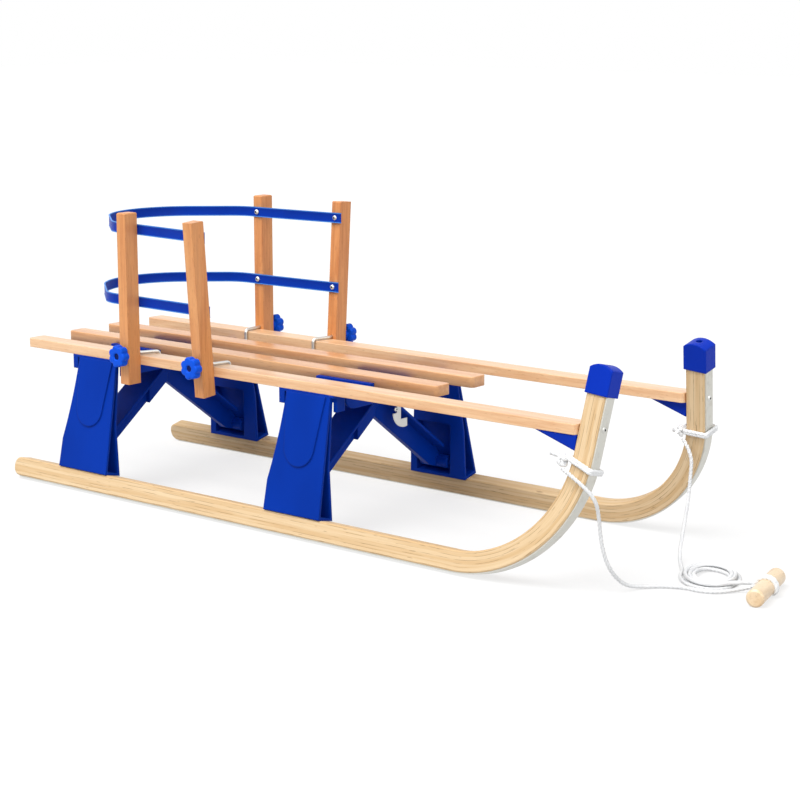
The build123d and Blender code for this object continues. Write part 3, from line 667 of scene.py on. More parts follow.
def round_edges(
    bm: bmesh.types.BMesh, edges: list, width: float, segments: int = 3
) -> None:
    """Bevel edges to a rounding.

    Args:
        bm: The mesh.
        edges: The edges to round.
        width: The rounding's width in metres.
        segments: Its faces across.
    """
    bmesh.ops.bevel(
        bm,
        geom=edges,
        offset=width,
        offset_type="OFFSET",
        segments=segments,
        profile=0.5,
        affect="EDGES",
        clamp_overlap=True,
        material=-1,
    )


def pull(bm: bmesh.types.BMesh, faces: list, move: Vector, keep: bool = False) -> None:
    """Extrude faces straight on.

    Args:
        bm: The mesh.
        faces: The faces to extrude.
        move: How far and where to.
        keep: Whether the first faces stay as the other end.
    """
    grown = bmesh.ops.extrude_face_region(bm, geom=faces, use_keep_orig=keep)
    moved = [part for part in grown["geom"] if isinstance(part, bmesh.types.BMVert)]
    bmesh.ops.translate(bm, vec=move, verts=moved)


def facing(seat: Vector, outward: Vector) -> Matrix:
    """The matrix that stands a piece's z axis on a seat and turns it outward."""
    turn = outward.to_track_quat("Z", "Y").to_matrix().to_4x4()
    return Matrix.Translation(seat) @ turn


def route_point(ahead: float, y: float, z: float) -> Vector:
    """A point given in millimetres: ahead of the sled's rear end, y and z."""
    return Vector((REAR_X + ahead * MILLIMETRE, y * MILLIMETRE, z * MILLIMETRE))


@dataclass(frozen=True)
class DomeScrew:
    """A round-headed screw, with painted shade in its recess."""

    radius: float = 0.0042
    height: float = 0.0024
    recess: float = 0.0016
    steps: int = 20

    def add(self, bm: bmesh.types.BMesh, seat: Vector, outward: Vector) -> None:
        """Spin one screw head into a mesh.

        Args:
            bm: The mesh.
            seat: The middle of the head's underside.
            outward: The direction that the head faces.
        """
        profile = (
            (0.0, self.height * 0.35),
            (self.recess * 0.8, self.height * 0.35),
            (self.recess, self.height),
            (self.radius * 0.6, self.height * 0.9),
            (self.radius * 0.88, self.height * 0.55),
            (self.radius, 0.0),
        )
        part = bmesh.new()
        verts = [part.verts.new((out, 0.0, up)) for out, up in profile]
        edges = [part.edges.new(pair) for pair in zip(verts, verts[1:])]
        bmesh.ops.spin(
            part,
            geom=[*verts, *edges],
            cent=ORIGIN,
            axis=UPWARD,
            dvec=ORIGIN,
            angle=math.tau,
            steps=self.steps,
            use_merge=True,
            use_duplicate=False,
        )
        bmesh.ops.remove_doubles(part, verts=part.verts, dist=MERGE_WITHIN / 2)
        # Faces inside the recess take the second material, which is painted shade.
        for face in part.faces:
            middle = face.calc_center_median()
            inside = math.hypot(middle.x, middle.y) < self.recess
            face.material_index = 1 if inside else 0
        bmesh.ops.transform(part, matrix=facing(seat, outward), verts=part.verts)
        bmesh.ops.recalc_face_normals(part, faces=part.faces)
        scratch = bpy.data.meshes.new("screw")
        part.to_mesh(scratch)
        part.free()
        bm.from_mesh(scratch)
        bpy.data.meshes.remove(scratch)


@dataclass
class Runner:
    """A laminated runner that is bent up into a horn, with its steel shoe."""

    side: Side
    track_half: float = 0.190
    edge_height: float = 0.0044
    width: float = 0.023
    thickness: float = 0.029
    shoe: float = 0.002
    rear: float = -0.5445
    bend_start: float = 0.3343
    bend_radius: float = 0.203
    bend_angle: float = 72.0
    bend_steps: int = 30
    horn_radius: float = 0.170
    horn_angle: float = 85.0
    horn_steps: int = 6
    horn_length: float = 0.110
    nose: float = 0.013
    nose_steps: int = 8
    rounding: float = 0.0024
    grain_shift: float = 0.2
    bolt_rise: float = 0.042
    bolt_head: DomeScrew = DomeScrew(radius=0.0046, height=0.0018, recess=0.0016)

    def place(self) -> Matrix:
        """Stand the runner's own plane in the sled's frame.

        Returns:
            The matrix from the one to the other.
        """
        sine, cosine = math.sin(CANT), math.cos(CANT)
        sign = self.side.value
        return Matrix(
            (
                (1.0, 0.0, 0.0, 0.0),
                (0.0, -sine * sign, -cosine * sign, self.track_half * sign),
                (0.0, cosine, -sine, self.edge_height),
                (0.0, 0.0, 0.0, 1.0),
            )
        )

    def horn_axes(self) -> tuple[Vector, Vector]:
        """Find the straight horn's directions in the runner's plane.

        Returns:
            The outward direction and the upward one.
        """
        high = math.radians(self.horn_angle)
        outward = Vector((math.sin(high), -math.cos(high), 0.0))
        return outward, Vector((math.cos(high), math.sin(high), 0.0))

    def centres(self) -> tuple[Vector, Vector]:
        """The centres of the two bends in the runner's plane.

        Returns:
            The first bend's centre and the horn bend's.
        """
        turn = math.radians(self.bend_angle)
        first = Vector((self.bend_start, self.bend_radius, 0.0))
        step = self.bend_radius - self.horn_radius
        second = first + Vector((step * math.sin(turn), -step * math.cos(turn), 0.0))
        return first, second

    def unbend(self, point: Vector) -> Vector:
        """Read a point of the bent runner as if the wood were straight.

        Args:
            point: The point in the runner's plane.

        Returns:
            Its distance along the bend, its depth from the shoe and its place across.
        """
        first, second = self.centres()
        low, high = math.radians(self.bend_angle), math.radians(self.horn_angle)
        if point.x <= self.bend_start:
            return Vector((point.x, point.y, point.z))
        turn = math.atan2(point.x - first.x, first.y - point.y)
        if turn <= low:
            reach = math.hypot(point.x - first.x, first.y - point.y)
            along = self.bend_start + self.bend_radius * turn
            return Vector((along, self.bend_radius - reach, point.z))
        turn = math.atan2(point.x - second.x, second.y - point.y)
        bent = self.bend_start + self.bend_radius * low
        if turn <= high:
            reach = math.hypot(point.x - second.x, second.y - point.y)
            along = bent + self.horn_radius * (turn - low)
            return Vector((along, self.horn_radius - reach, point.z))
        outward, up = (way.to_2d() for way in self.horn_axes())
        offset = Vector((point.x - second.x, point.y - second.y))
        along = bent + self.horn_radius * (high - low) + offset.dot(up)
        return Vector((along, self.horn_radius - offset.dot(outward), point.z))

    @staticmethod
    def open_end(bm: bmesh.types.BMesh) -> bmesh.types.BMFace:
        """The face at the runner's far end, which grows next.

        Args:
            bm: The runner so far.

        Returns:
            The face that lies furthest ahead and up.
        """
        reach = {
            face: face.calc_center_median().x + 10 * face.calc_center_median().y
            for face in bm.faces
        }
        return max(reach, key=reach.get)

    def bend(
        self, bm: bmesh.types.BMesh, centre: Vector, angle: float, steps: int
    ) -> None:
        """Spin the open end of the runner round a bend's centre.

        Args:
            bm: The runner so far.
            centre: The bend's centre.
            angle: The bend's angle in degrees.
            steps: Its faces along.
        """
        end = self.open_end(bm)
        bmesh.ops.spin(
            bm,
            geom=[end, *end.edges, *end.verts],
            cent=centre,
            axis=UPWARD,
            dvec=ORIGIN,
            angle=math.radians(angle),
            steps=steps,
            use_merge=False,
            use_duplicate=False,
        )

    def wood(self) -> bpy.types.Object:
        """Model the wooden runner and its grain attribute.

        Returns:
            The runner's wood.
        """
        bm = bmesh.new()
        bmesh.ops.create_grid(bm, x_segments=1, y_segments=1, size=0.5)
        scale = Matrix.Diagonal((self.thickness, self.width, 1.0, 1.0))
        turn = Matrix(((0, 0, 1, 0), (1, 0, 0, 0), (0, 1, 0, 0), (0, 0, 0, 1)))
        middle = Vector((self.rear, self.shoe + self.thickness / 2, self.width / 2))
        stand = Matrix.Translation(middle) @ turn @ scale
        bmesh.ops.transform(bm, matrix=stand, verts=bm.verts)
        pull(bm, bm.faces[:], Vector((self.bend_start - self.rear, 0.0, 0.0)), True)
        first, second = self.centres()
        self.bend(bm, first, self.bend_angle, self.bend_steps)
        self.bend(bm, second, self.horn_angle - self.bend_angle, self.horn_steps)
        _, up = self.horn_axes()
        pull(bm, [self.open_end(bm)], up * self.horn_length)
        inner = [
            face
            for face in bm.faces
            if all(len(edge.link_faces) > 2 for edge in face.edges)
        ]
        bmesh.ops.delete(bm, geom=inner, context="FACES_ONLY")
        bmesh.ops.recalc_face_normals(bm, faces=bm.faces)
        nose = [
            edge
            for edge in bm.edges
            if all(abs(vert.co.x - self.rear) < MILLIMETRE for vert in edge.verts)
            and abs(edge.verts[0].co.z - edge.verts[1].co.z) > MILLIMETRE
        ]
        round_edges(bm, nose, self.nose, self.nose_steps)
        sharp = [edge for edge in bm.edges if edge.calc_face_angle(0.0) > SHARP_ABOVE]
        round_edges(bm, sharp, self.rounding)
        layer = bm.verts.layers.float_vector.new("grain")
        shift = Vector((0.0, 0.0, self.grain_shift * self.side.value))
        for vert in bm.verts:
            vert[layer] = self.unbend(vert.co) + shift
        bmesh.ops.transform(bm, matrix=self.place(), verts=bm.verts)
        piece = show(f"runner_wood_{self.side.word}", bm)
        even_shading(piece)
        return piece

    def bolt_seat(self) -> tuple[Vector, Vector]:
        """The seat and the direction of the bolt through the shoe on the horn.

        Returns:
            The seat in the sled's frame, and the way that the head faces.
        """
        _, second = self.centres()
        outward, up = self.horn_axes()
        seat = second + outward * self.horn_radius + up * self.bolt_rise
        seat.z = self.width / 2
        place = self.place()
        return place @ seat, (place.to_3x3() @ outward).normalized()

    def build(self, finishes: Finishes) -> None:
        """Build and dress the runner, its shoe and the bolt on its horn.

        Args:
            finishes: The shared materials.
        """
        piece = self.wood()
        dress(piece, self.side.body, "runner_wood", finishes["runner"])
        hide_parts(f"runner_{self.side.word}")
        repaint(f"shoe_{self.side.word}", finishes["shoe"])
        bm = bmesh.new()
        self.bolt_head.add(bm, *self.bolt_seat())
        bolt = show(f"horn_bolt_{self.side.word}", bm)
        # The second material is the painted shade in the bolt head's recess.
        metals = (finishes["zinc"], finishes["dark"])
        dress(bolt, self.side.body, "zinc_steel", *metals)


@dataclass
class Rope:
    """A laid rope of three strands, swept along a smooth route."""

    diameter: float = 0.0058
    lobe: float = 0.09
    lobes: int = 3
    lay: float = 0.018
    section_points: int = 18
    resolution: int = 12
    merge_within: float = 0.000005

    @staticmethod
    def curve(
        name: str, kind: str, count: int
    ) -> tuple[bpy.types.Object, bpy.types.Spline]:
        """Link a working curve with one spline.

        Args:
            name: The curve's name.
            kind: The spline's type.
            count: Its number of points.

        Returns:
            The curve's object and its spline.
        """
        data = bpy.data.curves.new(name, "CURVE")
        data.dimensions = "3D"
        spline = data.splines.new(kind)
        spline.points.add(count - 1)
        return link(name, data), spline

    def line(self, name: str, route: list[Vector]) -> list[Vector]:
        """Read the points of a NURBS spline whose control points are the route.

        Args:
            name: The name of the working curve.
            route: The route's points in metres.

        Returns:
            Points along the smooth line.
        """
        holder, spline = self.curve(name, "NURBS", len(route))
        for point, place in zip(spline.points, route):
            point.co = (*place, 1.0)
        spline.resolution_u = self.resolution
        spline.order_u = 3
        spline.use_endpoint_u = True
        bpy.context.view_layer.update()
        mesh = bpy.data.meshes.new_from_object(holder)
        points = [vert.co.copy() for vert in mesh.vertices]
        bpy.data.curves.remove(holder.data)
        bpy.data.meshes.remove(mesh)
        return points

    def section(self) -> bpy.types.Object:
        """The lobed section as a closed curve.

        Returns:
            The curve's object.
        """
        holder, spline = self.curve("rope_section", "POLY", self.section_points)
        holder.data.dimensions = "2D"
        for index, point in enumerate(spline.points):
            turn = math.tau * index / self.section_points
            reach = 1.0 - self.lobe + self.lobe * math.cos(self.lobes * turn)
            radius = self.diameter / 2 * reach
            point.co = (radius * math.cos(turn), radius * math.sin(turn), 0.0, 1.0)
        spline.use_cyclic_u = True
        return holder

    def mesh(self, name: str, points: list[Vector]) -> bpy.types.Object:
        """Sweep the twisted section along a line.

        Args:
            name: The piece's name.
            points: The line's points.

        Returns:
            The rope as a mesh.
        """
        section = self.section()
        holder, spline = self.curve(name, "POLY", len(points))
        holder.data.twist_mode = "MINIMUM"
        holder.data.bevel_mode = "OBJECT"
        holder.data.bevel_object = section
        holder.data.use_fill_caps = True
        travelled = 0.0
        for index, (point, place) in enumerate(zip(spline.points, points)):
            if index:
                travelled += (place - points[index - 1]).length
            point.co = (*place, 1.0)
            point.tilt = math.tau * travelled / self.lay
        seen = holder.evaluated_get(bpy.context.evaluated_depsgraph_get())
        swept = bpy.data.meshes.new_from_object(seen)
        bm = bmesh.new()
        bm.from_mesh(swept)
        bmesh.ops.remove_doubles(bm, verts=bm.verts, dist=self.merge_within)
        bpy.data.meshes.remove(swept)
        for curve in (holder.data, section.data):
            bpy.data.curves.remove(curve)
        return show(name, bm)


@dataclass(frozen=True)
class KnotShape:
    """How a horn's knot leans, and where its lump and tail lie beside the horn."""

    lean: float
    lump: Triple
    tail: tuple[Triple, ...]


KNOTS = {
    Side.RIGHT: KnotShape(
        lean=69.5,
        lump=(-16.5, -24.0, -5.0),
        tail=((-13.0, -27.0, -3.0), (-15.0, -36.0, -4.0), (-16.5, -46.0, -6.0)),
    ),
    Side.LEFT: KnotShape(
        lean=86.0,
        lump=(15.5, -23.5, -1.0),
        tail=((12.0, -27.0, -1.0), (10.0, -32.0, -3.0), (8.5, -37.0, -6.0)),
    ),
}


@dataclass
class PullRope:
    """The rope: a knot on each horn, two strands, the coil and the handle's lashing.

    Its routes are in millimetres: ahead of the sled's rear end, y and z.
    """

    rope: Rope
    white: bpy.types.Material
    near_length: float = 0.405
    far_length: float = 1.6
    fold_shift: float = 0.12758
    fold_anchor: float = -0.165
    coil_ahead: float = 1166.0
    coil_y: float = 12.0
    coil_turn: float = 120.0
    coil_long: float = 57.5
    coil_short: float = 41.5
    coil_start: float = 66.0
    coil_turns: float = 5.45
    inward_turns: float = 2.8
    climb_turns: float = 0.35
    points_per_turn: int = 14
    pitch: float = 6.3
    outward_pitch: float = 0.93
    fan: float = 0.10
    fan_phase: float = 0.6
    ripple: float = 0.7
    ripple_phase: float = 0.4
    floor_level: float = 3.0
    layer_rise: float = 5.9
    handle_ahead: float = 1259.0
    handle_y: float = -9.0
    handle_turn: float = 14.0
    handle_radius: float = 12.0
    lashing_half: float = 3.1
    lashing_sink: float = 0.4
    lashing_start: float = 200.0
    lashing_step: float = 31.4
    lashing_points: int = 8
    wrap_in: float = 14.6
    wrap_ahead: float = 18.7
    wrap_corner: float = 6.5
    wrap_rise: float = 3.0
    wraps: int = 2
    lump_radius: float = 5.2

    NEAR_ROUTE = (
        (1045.0, -164.5, 166.0),
        (1071.0, -167.0, 154.0),
        (1093.0, -160.0, 133.0),
        (1090.0, -146.0, 108.0),
        (1091.0, -141.0, 68.0),
        (1099.0, -133.0, 34.0),
        (1106.0, -108.0, 9.0),
        (1116.0, -83.0, 3.0),
        (1137.0, -61.0, 3.0),
        (1163.5, -49.0, 3.0),
        (1182.0, -50.5, 3.0),
        (1200.0, -45.5, 3.0),
        (1215.0, -29.5, 3.0),
        (1226.0, -13.0, 4.5),
        (1237.0, -9.0, 8.5),
        (1246.0, -9.0, 12.0),
    )
    FAR_ROUTE = (
        (1050.0, 124.0, 156.0),
        (1066.0, 124.0, 138.0),
        (1066.0, 121.0, 103.0),
        (1070.0, 109.0, 68.0),
        (1077.0, 87.0, 36.0),
        (1089.0, 58.0, 11.0),
        (1107.0, 33.0, 3.0),
    )
    LEAD_ROUTE = (
        (1226.0, 2.0, 10.0),
        (1237.0, 0.5, 11.0),
        (1247.0, -1.5, 12.5),
    )
    TUCK_IN = ((4.0, -5.0), (10.5, -5.6))
    TUCK_OUT = ((10.5, -6.4), (4.0, -5.0))

    def coil_route(self) -> list[Triple]:
        """Lay the coil's loose turns, inwards on the floor and outwards on top.

        Returns:
            The turns' points.
        """
        turn = math.radians(self.coil_turn)
        long_way = Vector((math.cos(turn), math.sin(turn)))
        short_way = Vector((-math.sin(turn), math.cos(turn)))
        route = []
        for index in range(int(self.coil_turns * self.points_per_turn) + 1):
            done = index / self.points_per_turn
            angle = math.radians(self.coil_start) + math.tau * done
            inset = self.pitch * min(done, self.inward_turns)
            height = self.floor_level
            if done > self.inward_turns:
                over = done - self.inward_turns
                height += self.layer_rise * min(over / self.climb_turns, 1.0)
                outward = max(over - self.climb_turns, 0.0)
                inset -= self.pitch * self.outward_pitch * outward
            fan = 1.0 + self.fan * math.cos(angle - self.fan_phase)
            ripple = self.ripple * math.sin(2 * angle + self.ripple_phase)
            reach_long = self.coil_long - inset * fan + ripple
            reach_short = self.coil_short - inset * fan - ripple
            flat = (
                long_way * (reach_long * math.cos(angle))
                + short_way * (reach_short * math.sin(angle))
            )
            route.append((self.coil_ahead + flat.x, self.coil_y + flat.y, height))
        return route

    def cord(
        self,
        name: str,
        side: Side,
        route: list[Triple],
        nodes: tuple[str, ...],
    ) -> bpy.types.Object:
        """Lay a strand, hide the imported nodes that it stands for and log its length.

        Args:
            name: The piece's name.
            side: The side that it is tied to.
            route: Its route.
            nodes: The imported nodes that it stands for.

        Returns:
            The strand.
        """
        line = self.rope.line(f"{name}_line", [route_point(*point) for point in route])
        piece = self.rope.mesh(name, line)
        dress(piece, side.body, "rope_fibre", self.white)
        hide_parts(*nodes)
        measured = sum((after - before).length for before, after in zip(line, line[1:]))
        LOG.info("%s: %.3f m along its line", name, measured)
        tuple(route_point(*route[0]))
        return piece

    def narrow_with_fold(self, strand: bpy.types.Object) -> None:
        """Work out the share that the right strand would keep as the sled folds, and
        give it its own mesh.

        Args:
            strand: The right strand.
        """
        anchor = self.fold_anchor
        far_y = route_point(*self.NEAR_ROUTE[-1]).y
        keep = (far_y - self.fold_shift - anchor) / (far_y - anchor)
        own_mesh(strand)

    def lashing(self) -> bpy.types.Object:
        """Lay two turns over the handle's middle, with their ends in its cross bore.

        Returns:
            The lashing.
        """
        turn = math.radians(self.handle_turn)
        axis = Vector((-math.sin(turn), math.cos(turn), 0.0))
        across = Vector((math.cos(turn), math.sin(turn), 0.0))
        centre = Vector((self.handle_ahead, self.handle_y, self.handle_radius))
        half_rope = self.rope.diameter / MILLIMETRE / 2
        reach = self.handle_radius + half_rope - self.lashing_sink
        arcs = []
        for place in (-self.lashing_half, self.lashing_half):
            middle = centre + axis * place
            arc = [
                middle - across * out + Vector((0.0, 0.0, drop))
                for out, drop in self.TUCK_IN
            ]
            for step in range(self.lashing_points):
                angle = math.radians(self.lashing_start - step * self.lashing_step)
                side = across * (reach * math.cos(angle))
                arc.append(middle + side + Vector((0.0, 0.0, reach * math.sin(angle))))
            arc += [
                middle + across * out + Vector((0.0, 0.0, drop))
                for out, drop in self.TUCK_OUT
            ]
            arcs.append([route_point(*point) for point in arc])
        return self.tied(arcs, "handle_lashing", Side.LEFT)

    def wrap_ring(self) -> list[tuple[float, float]]:
        """The rounded rectangle that a wrap follows round a horn.

        Returns:
            Its points, inward and ahead of the horn's middle.
        """
        ring = []
        for inward, ahead in ((1, -1), (1, 1), (-1, 1), (-1, -1)):
            corner = [
                (inward * (self.wrap_in - self.wrap_corner), ahead * self.wrap_ahead),
                (inward * self.wrap_in, ahead * self.wrap_ahead),
                (inward * self.wrap_in, ahead * (self.wrap_ahead - self.wrap_corner)),
            ]
            ring += corner if inward != ahead else corner[::-1]
        return ring

    def knot(self, side: Side) -> bpy.types.Object:
        """Wrap a horn, with a lump and a tail at its rear corner.

        Args:
            side: The horn's side.

        Returns:
            The knot.
        """
        ring = self.wrap_ring()
        count = self.wraps * len(ring)
        wraps = []
        for index in range(count + 1):
            rise = -self.wrap_rise + 2 * self.wrap_rise * index / count
            wraps.append((*ring[index % len(ring)], rise))
        loose = [*self.lump(KNOTS[side].lump), *KNOTS[side].tail]
        stand = self.turn_frame(side)
        routes = [
            [stand @ (Vector(point) * MILLIMETRE) for point in local]
            for local in (wraps, loose)
        ]
        knot = self.tied(routes, f"horn_knot_{side.word}", side)
        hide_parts(f"rope_knot_{side.word}")
        return knot

    def lump(self, centre: Triple) -> list[Triple]:
        """The crossing turns of an overhand knot as route points.

        Args:
            centre: The knot's middle in its turn's frame.

        Returns:
            The points of the turns.
        """
        radius = self.lump_radius
        points = []
        for step in range(14):
            angle = math.tau * step / 9
            reach = radius * (1.0 + 0.35 * math.cos(1.5 * angle))
            inward = centre[0] + reach * math.cos(angle)
            ahead = centre[1] + 0.9 * radius * math.sin(1.5 * angle)
            points.append((inward, ahead, centre[2] + reach * math.sin(angle)))
        return points

    @staticmethod
    def turn_frame(side: Side) -> Matrix:
        """Stand a knot on its horn.

        Args:
            side: The horn's side.

        Returns:
            The matrix of the horn's rope turn: inward, ahead and up along the horn.
        """
        low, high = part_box(f"rope_knot_{side.word}")
        lean = math.radians(KNOTS[side].lean)
        sine, cosine = math.sin(CANT), math.cos(CANT)
        sign = side.value
        rise = math.sin(lean)
        up = Vector((math.cos(lean), -sine * sign * rise, cosine * rise))
        inward = Vector((0.0, -cosine * sign, -sine))
        ahead = inward.cross(up) * -sign
        columns = Matrix((inward, ahead, up)).transposed()
        return Matrix.Translation((low + high) / 2) @ columns.to_4x4()

    def tied(
        self, routes: list[list[Vector]], name: str, side: Side
    ) -> bpy.types.Object:
        """Sweep the rope along some short routes and join them into one dressed piece.

        Args:
            routes: The routes' points in metres.
            name: The piece's name.
            side: The side that it rides on.

        Returns:
            The piece.
        """
        bm = bmesh.new()
        for number, route in enumerate(routes):
            part_name = f"{name}_{number}"
            part = self.rope.mesh(part_name, self.rope.line(part_name, route))
            bm.from_mesh(part.data)
            bpy.data.objects.remove(part)
        whole = show(name, bm)
        dress(whole, side.body, "rope_fibre", self.white)
        return whole

    def build(self, wood: bpy.types.Material) -> None:
        """Tie the lashing and the knots first, then lay the strands that carry them.

        Args:
            wood: The handle's material.
        """
        lashing = self.lashing()
        near_knot = self.knot(Side.RIGHT)
        far_knot = self.knot(Side.LEFT)
        repaint("rope_handle", wood)
        near = self.cord(
            "rope_near",
            Side.RIGHT,
            list(self.NEAR_ROUTE),
            ("rope_strand_right",),
        )
        self.narrow_with_fold(near)
        self.cord(
            "rope_far",
            Side.LEFT,
            [*self.FAR_ROUTE, *self.coil_route(), *self.LEAD_ROUTE],
            ("rope_strand_left", "rope_coil", "rope_lead"),
        )


@dataclass
class StarKnob:
    """A star knob with seven round lobes, a hub and a recess whose floor is painted
    shade.
    """

    side: Side
    name: str
    lobes: int = 7
    valley: float = 0.17
    lobe_power: float = 0.9
    hub_height: float = 0.0045
    hub_share: float = 0.5
    bore_share: float = 0.27
    bore_overlap: float = 1.04
    bore_depth: float = 0.0022
    rounding: float = 0.0024
    star_points: int = 84
    hub_points: int = 40
    bore_points: int = 24

    def star(self, radius: float, height: float) -> bmesh.types.BMesh:
        """Build the lobed ring.

        Args:
            radius: The reach of the lobes.
            height: The thickness of the star.

        Returns:
            The ring, with its axis along z and its foot on the hub.
        """
        bm = bmesh.new()
        outer = bmesh.ops.create_circle(bm, segments=self.star_points, radius=radius)
        for vert in outer["verts"]:
            turn = math.atan2(vert.co.y, vert.co.x)
            wave = abs(math.cos(self.lobes * turn / 2)) ** self.lobe_power
            vert.co *= 1.0 - self.valley * (1.0 - wave)
        bore = radius * self.bore_share
        bmesh.ops.create_circle(bm, segments=self.star_points, radius=bore)
        bmesh.ops.bridge_loops(bm, edges=bm.edges[:])
        bmesh.ops.translate(bm, vec=(0.0, 0.0, self.hub_height), verts=bm.verts)
        pull(bm, bm.faces[:], Vector((0.0, 0.0, height)), True)
        bmesh.ops.recalc_face_normals(bm, faces=bm.faces)
        rims = [
            edge
            for edge in bm.edges
            if edge.calc_face_angle(0.0) > SHARP_ABOVE
            and abs(edge.verts[0].co.z - edge.verts[1].co.z) < self.bore_depth / 10
        ]
        round_edges(bm, rims, self.rounding)
        return bm

    def build(self, finishes: Finishes) -> None:
        """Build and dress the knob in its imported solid's place.

        Args:
            finishes: The shared materials.
        """
        node = f"knob_{self.name}_{self.side.word}"
        low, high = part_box(node)
        radius = (high.x - low.x) / 2
        depth = high.y - low.y
        bm = self.star(radius, depth - self.hub_height)
        hub_top = self.hub_height + self.rounding
        hub = bmesh.ops.create_cone(
            bm,
            cap_ends=True,
            segments=self.hub_points,
            radius1=radius * self.hub_share,
            radius2=radius * self.hub_share,
            depth=hub_top,
        )["verts"]
        bmesh.ops.translate(bm, vec=(0.0, 0.0, hub_top / 2), verts=hub)
        floor = bmesh.ops.create_circle(
            bm,
            cap_ends=True,
            segments=self.bore_points,
            radius=radius * self.bore_share * self.bore_overlap,
        )["verts"]
        bore_floor = (0.0, 0.0, depth - self.bore_depth)
        bmesh.ops.translate(bm, vec=bore_floor, verts=floor)
        # The bore's floor takes the second material, a darker blue painted shade.
        for face in {face for vert in floor for face in vert.link_faces}:
            face.material_index = 1
        outward = Vector((0.0, float(self.side.value), 0.0))
        seat = (low + high) / 2 - outward * (depth / 2)
        bmesh.ops.transform(bm, matrix=facing(seat, outward), verts=bm.verts)
        piece = show(f"star_{node}", bm)
        even_shading(piece)
        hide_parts(node)
        plastics = (finishes["knob"], finishes["recess"])
        dress(piece, self.side.body, "knob_plastic", *plastics)


@dataclass(frozen=True)
class Post:
    """A backrest post: its side, its name, its place ahead in mm and its lean."""

    side: Side
    name: str
    ahead: float
    lean: float = 0.0


@dataclass
class Backrest:
    """Four clamped posts, two springy bands, their screws, hooks and star knobs."""

    band_anchor: float = -0.148
    band_keep: float = 0.567
    band_heights: tuple[float, float] = (0.3045, 0.414)
    slat_edge: float = 0.148
    slat_bottom: float = 0.208
    band_thickness: float = 0.0025
    screw_sink: float = 0.0002
    rim: float = 0.0014
    groove: float = 0.0005
    join_angle: float = 0.1
    posts: tuple[Post, ...] = (
        Post(Side.RIGHT, "rear", 250.0),
        Post(Side.RIGHT, "front", 405.0, 4.2),
        Post(Side.LEFT, "rear", 231.0),
        Post(Side.LEFT, "front", 386.0, 3.85),
    )
    post_wood: BeechFinish = BeechFinish(
        tone=(222, 150, 88),
        dark=(182, 102, 50),
        pale=(232, 174, 116),
        lacquer=0.3,
        grain=Grain.ALONG_Z,
    )

    def is_broad(self, face: bmesh.types.BMFace) -> bool:
        """Whether a face of a band is one of its two broad ones."""
        heights = [vert.co.z for vert in face.verts]
        return abs(face.normal.z) < 0.2 and max(heights) - min(heights) > self.rim * 5

    def band(self, name: str, *plastics: bpy.types.Material) -> None:
        """Sink a band's broad faces between two rims, and give the band its own mesh.

        Args:
            name: Which of the two bands.
            *plastics: The plastic of its faces, and the lighter plastic of its rims and
                       edges, which is a painted highlight.
        """
        node = f"backrest_band_{name}"
        bm = merged_copy(node)
        bmesh.ops.join_triangles(
            bm,
            faces=bm.faces,
            angle_face_threshold=self.join_angle,
            angle_shape_threshold=math.pi,
        )
        broad = [face for face in bm.faces if self.is_broad(face)]
        bmesh.ops.inset_region(
            bm,
            faces=broad,
            thickness=self.rim,
            depth=-self.groove,
            use_even_offset=True,
        )
        # All faces but the broad ones take the second material, a painted highlight
        # along the rims and edges.
        for face in bm.faces:
            face.material_index = 1
        for face in broad:
            face.material_index = 0
        piece = show(f"band_{name}", bm)
        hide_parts(node)
        dress(piece, Side.RIGHT.body, "band_plastic", *plastics)
        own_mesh(piece)

    def screws(self, side: Side, *metals: bpy.types.Material) -> None:
        """Set a round-headed screw through each band into each post of a side.

        Args:
            side: The side.
            *metals: The metal of the heads, and the painted shade of their recesses.
        """
        bm = bmesh.new()
        inward = Vector((0.0, -side.value, 0.0))
        for post in self.posts:
            if post.side is not side:
                continue
            for height in self.band_heights:
                lean = math.tan(math.radians(post.lean))
                rise = (height - self.slat_bottom) * lean
                y = self.slat_edge - self.band_thickness + rise - self.screw_sink
                x = REAR_X + post.ahead * MILLIMETRE
                DomeScrew().add(bm, Vector((x, y * side.value, height)), inward)
        dress(show(f"band_screws_{side.word}", bm), side.body, "zinc_steel", *metals)

    def build(self, finishes: Finishes) -> None:
        """Build and dress the backrest.

        Args:
            finishes: The shared materials.
        """
        for name in ("lower", "upper"):
            self.band(name, finishes["band"], finishes["rim"])
        for side in Side:
            self.screws(side, finishes["zinc"], finishes["dark"])
        for number, post in enumerate(self.posts):
            wood = replace(self.post_wood, seed=3.1 + number)
            place = f"{post.name}_{post.side.word}"
            repaint(f"post_{place}", wood.material(f"post_wood_{number}"))
            repaint(f"hook_{place}", finishes["zinc"])
            StarKnob(post.side, post.name).build(finishes)


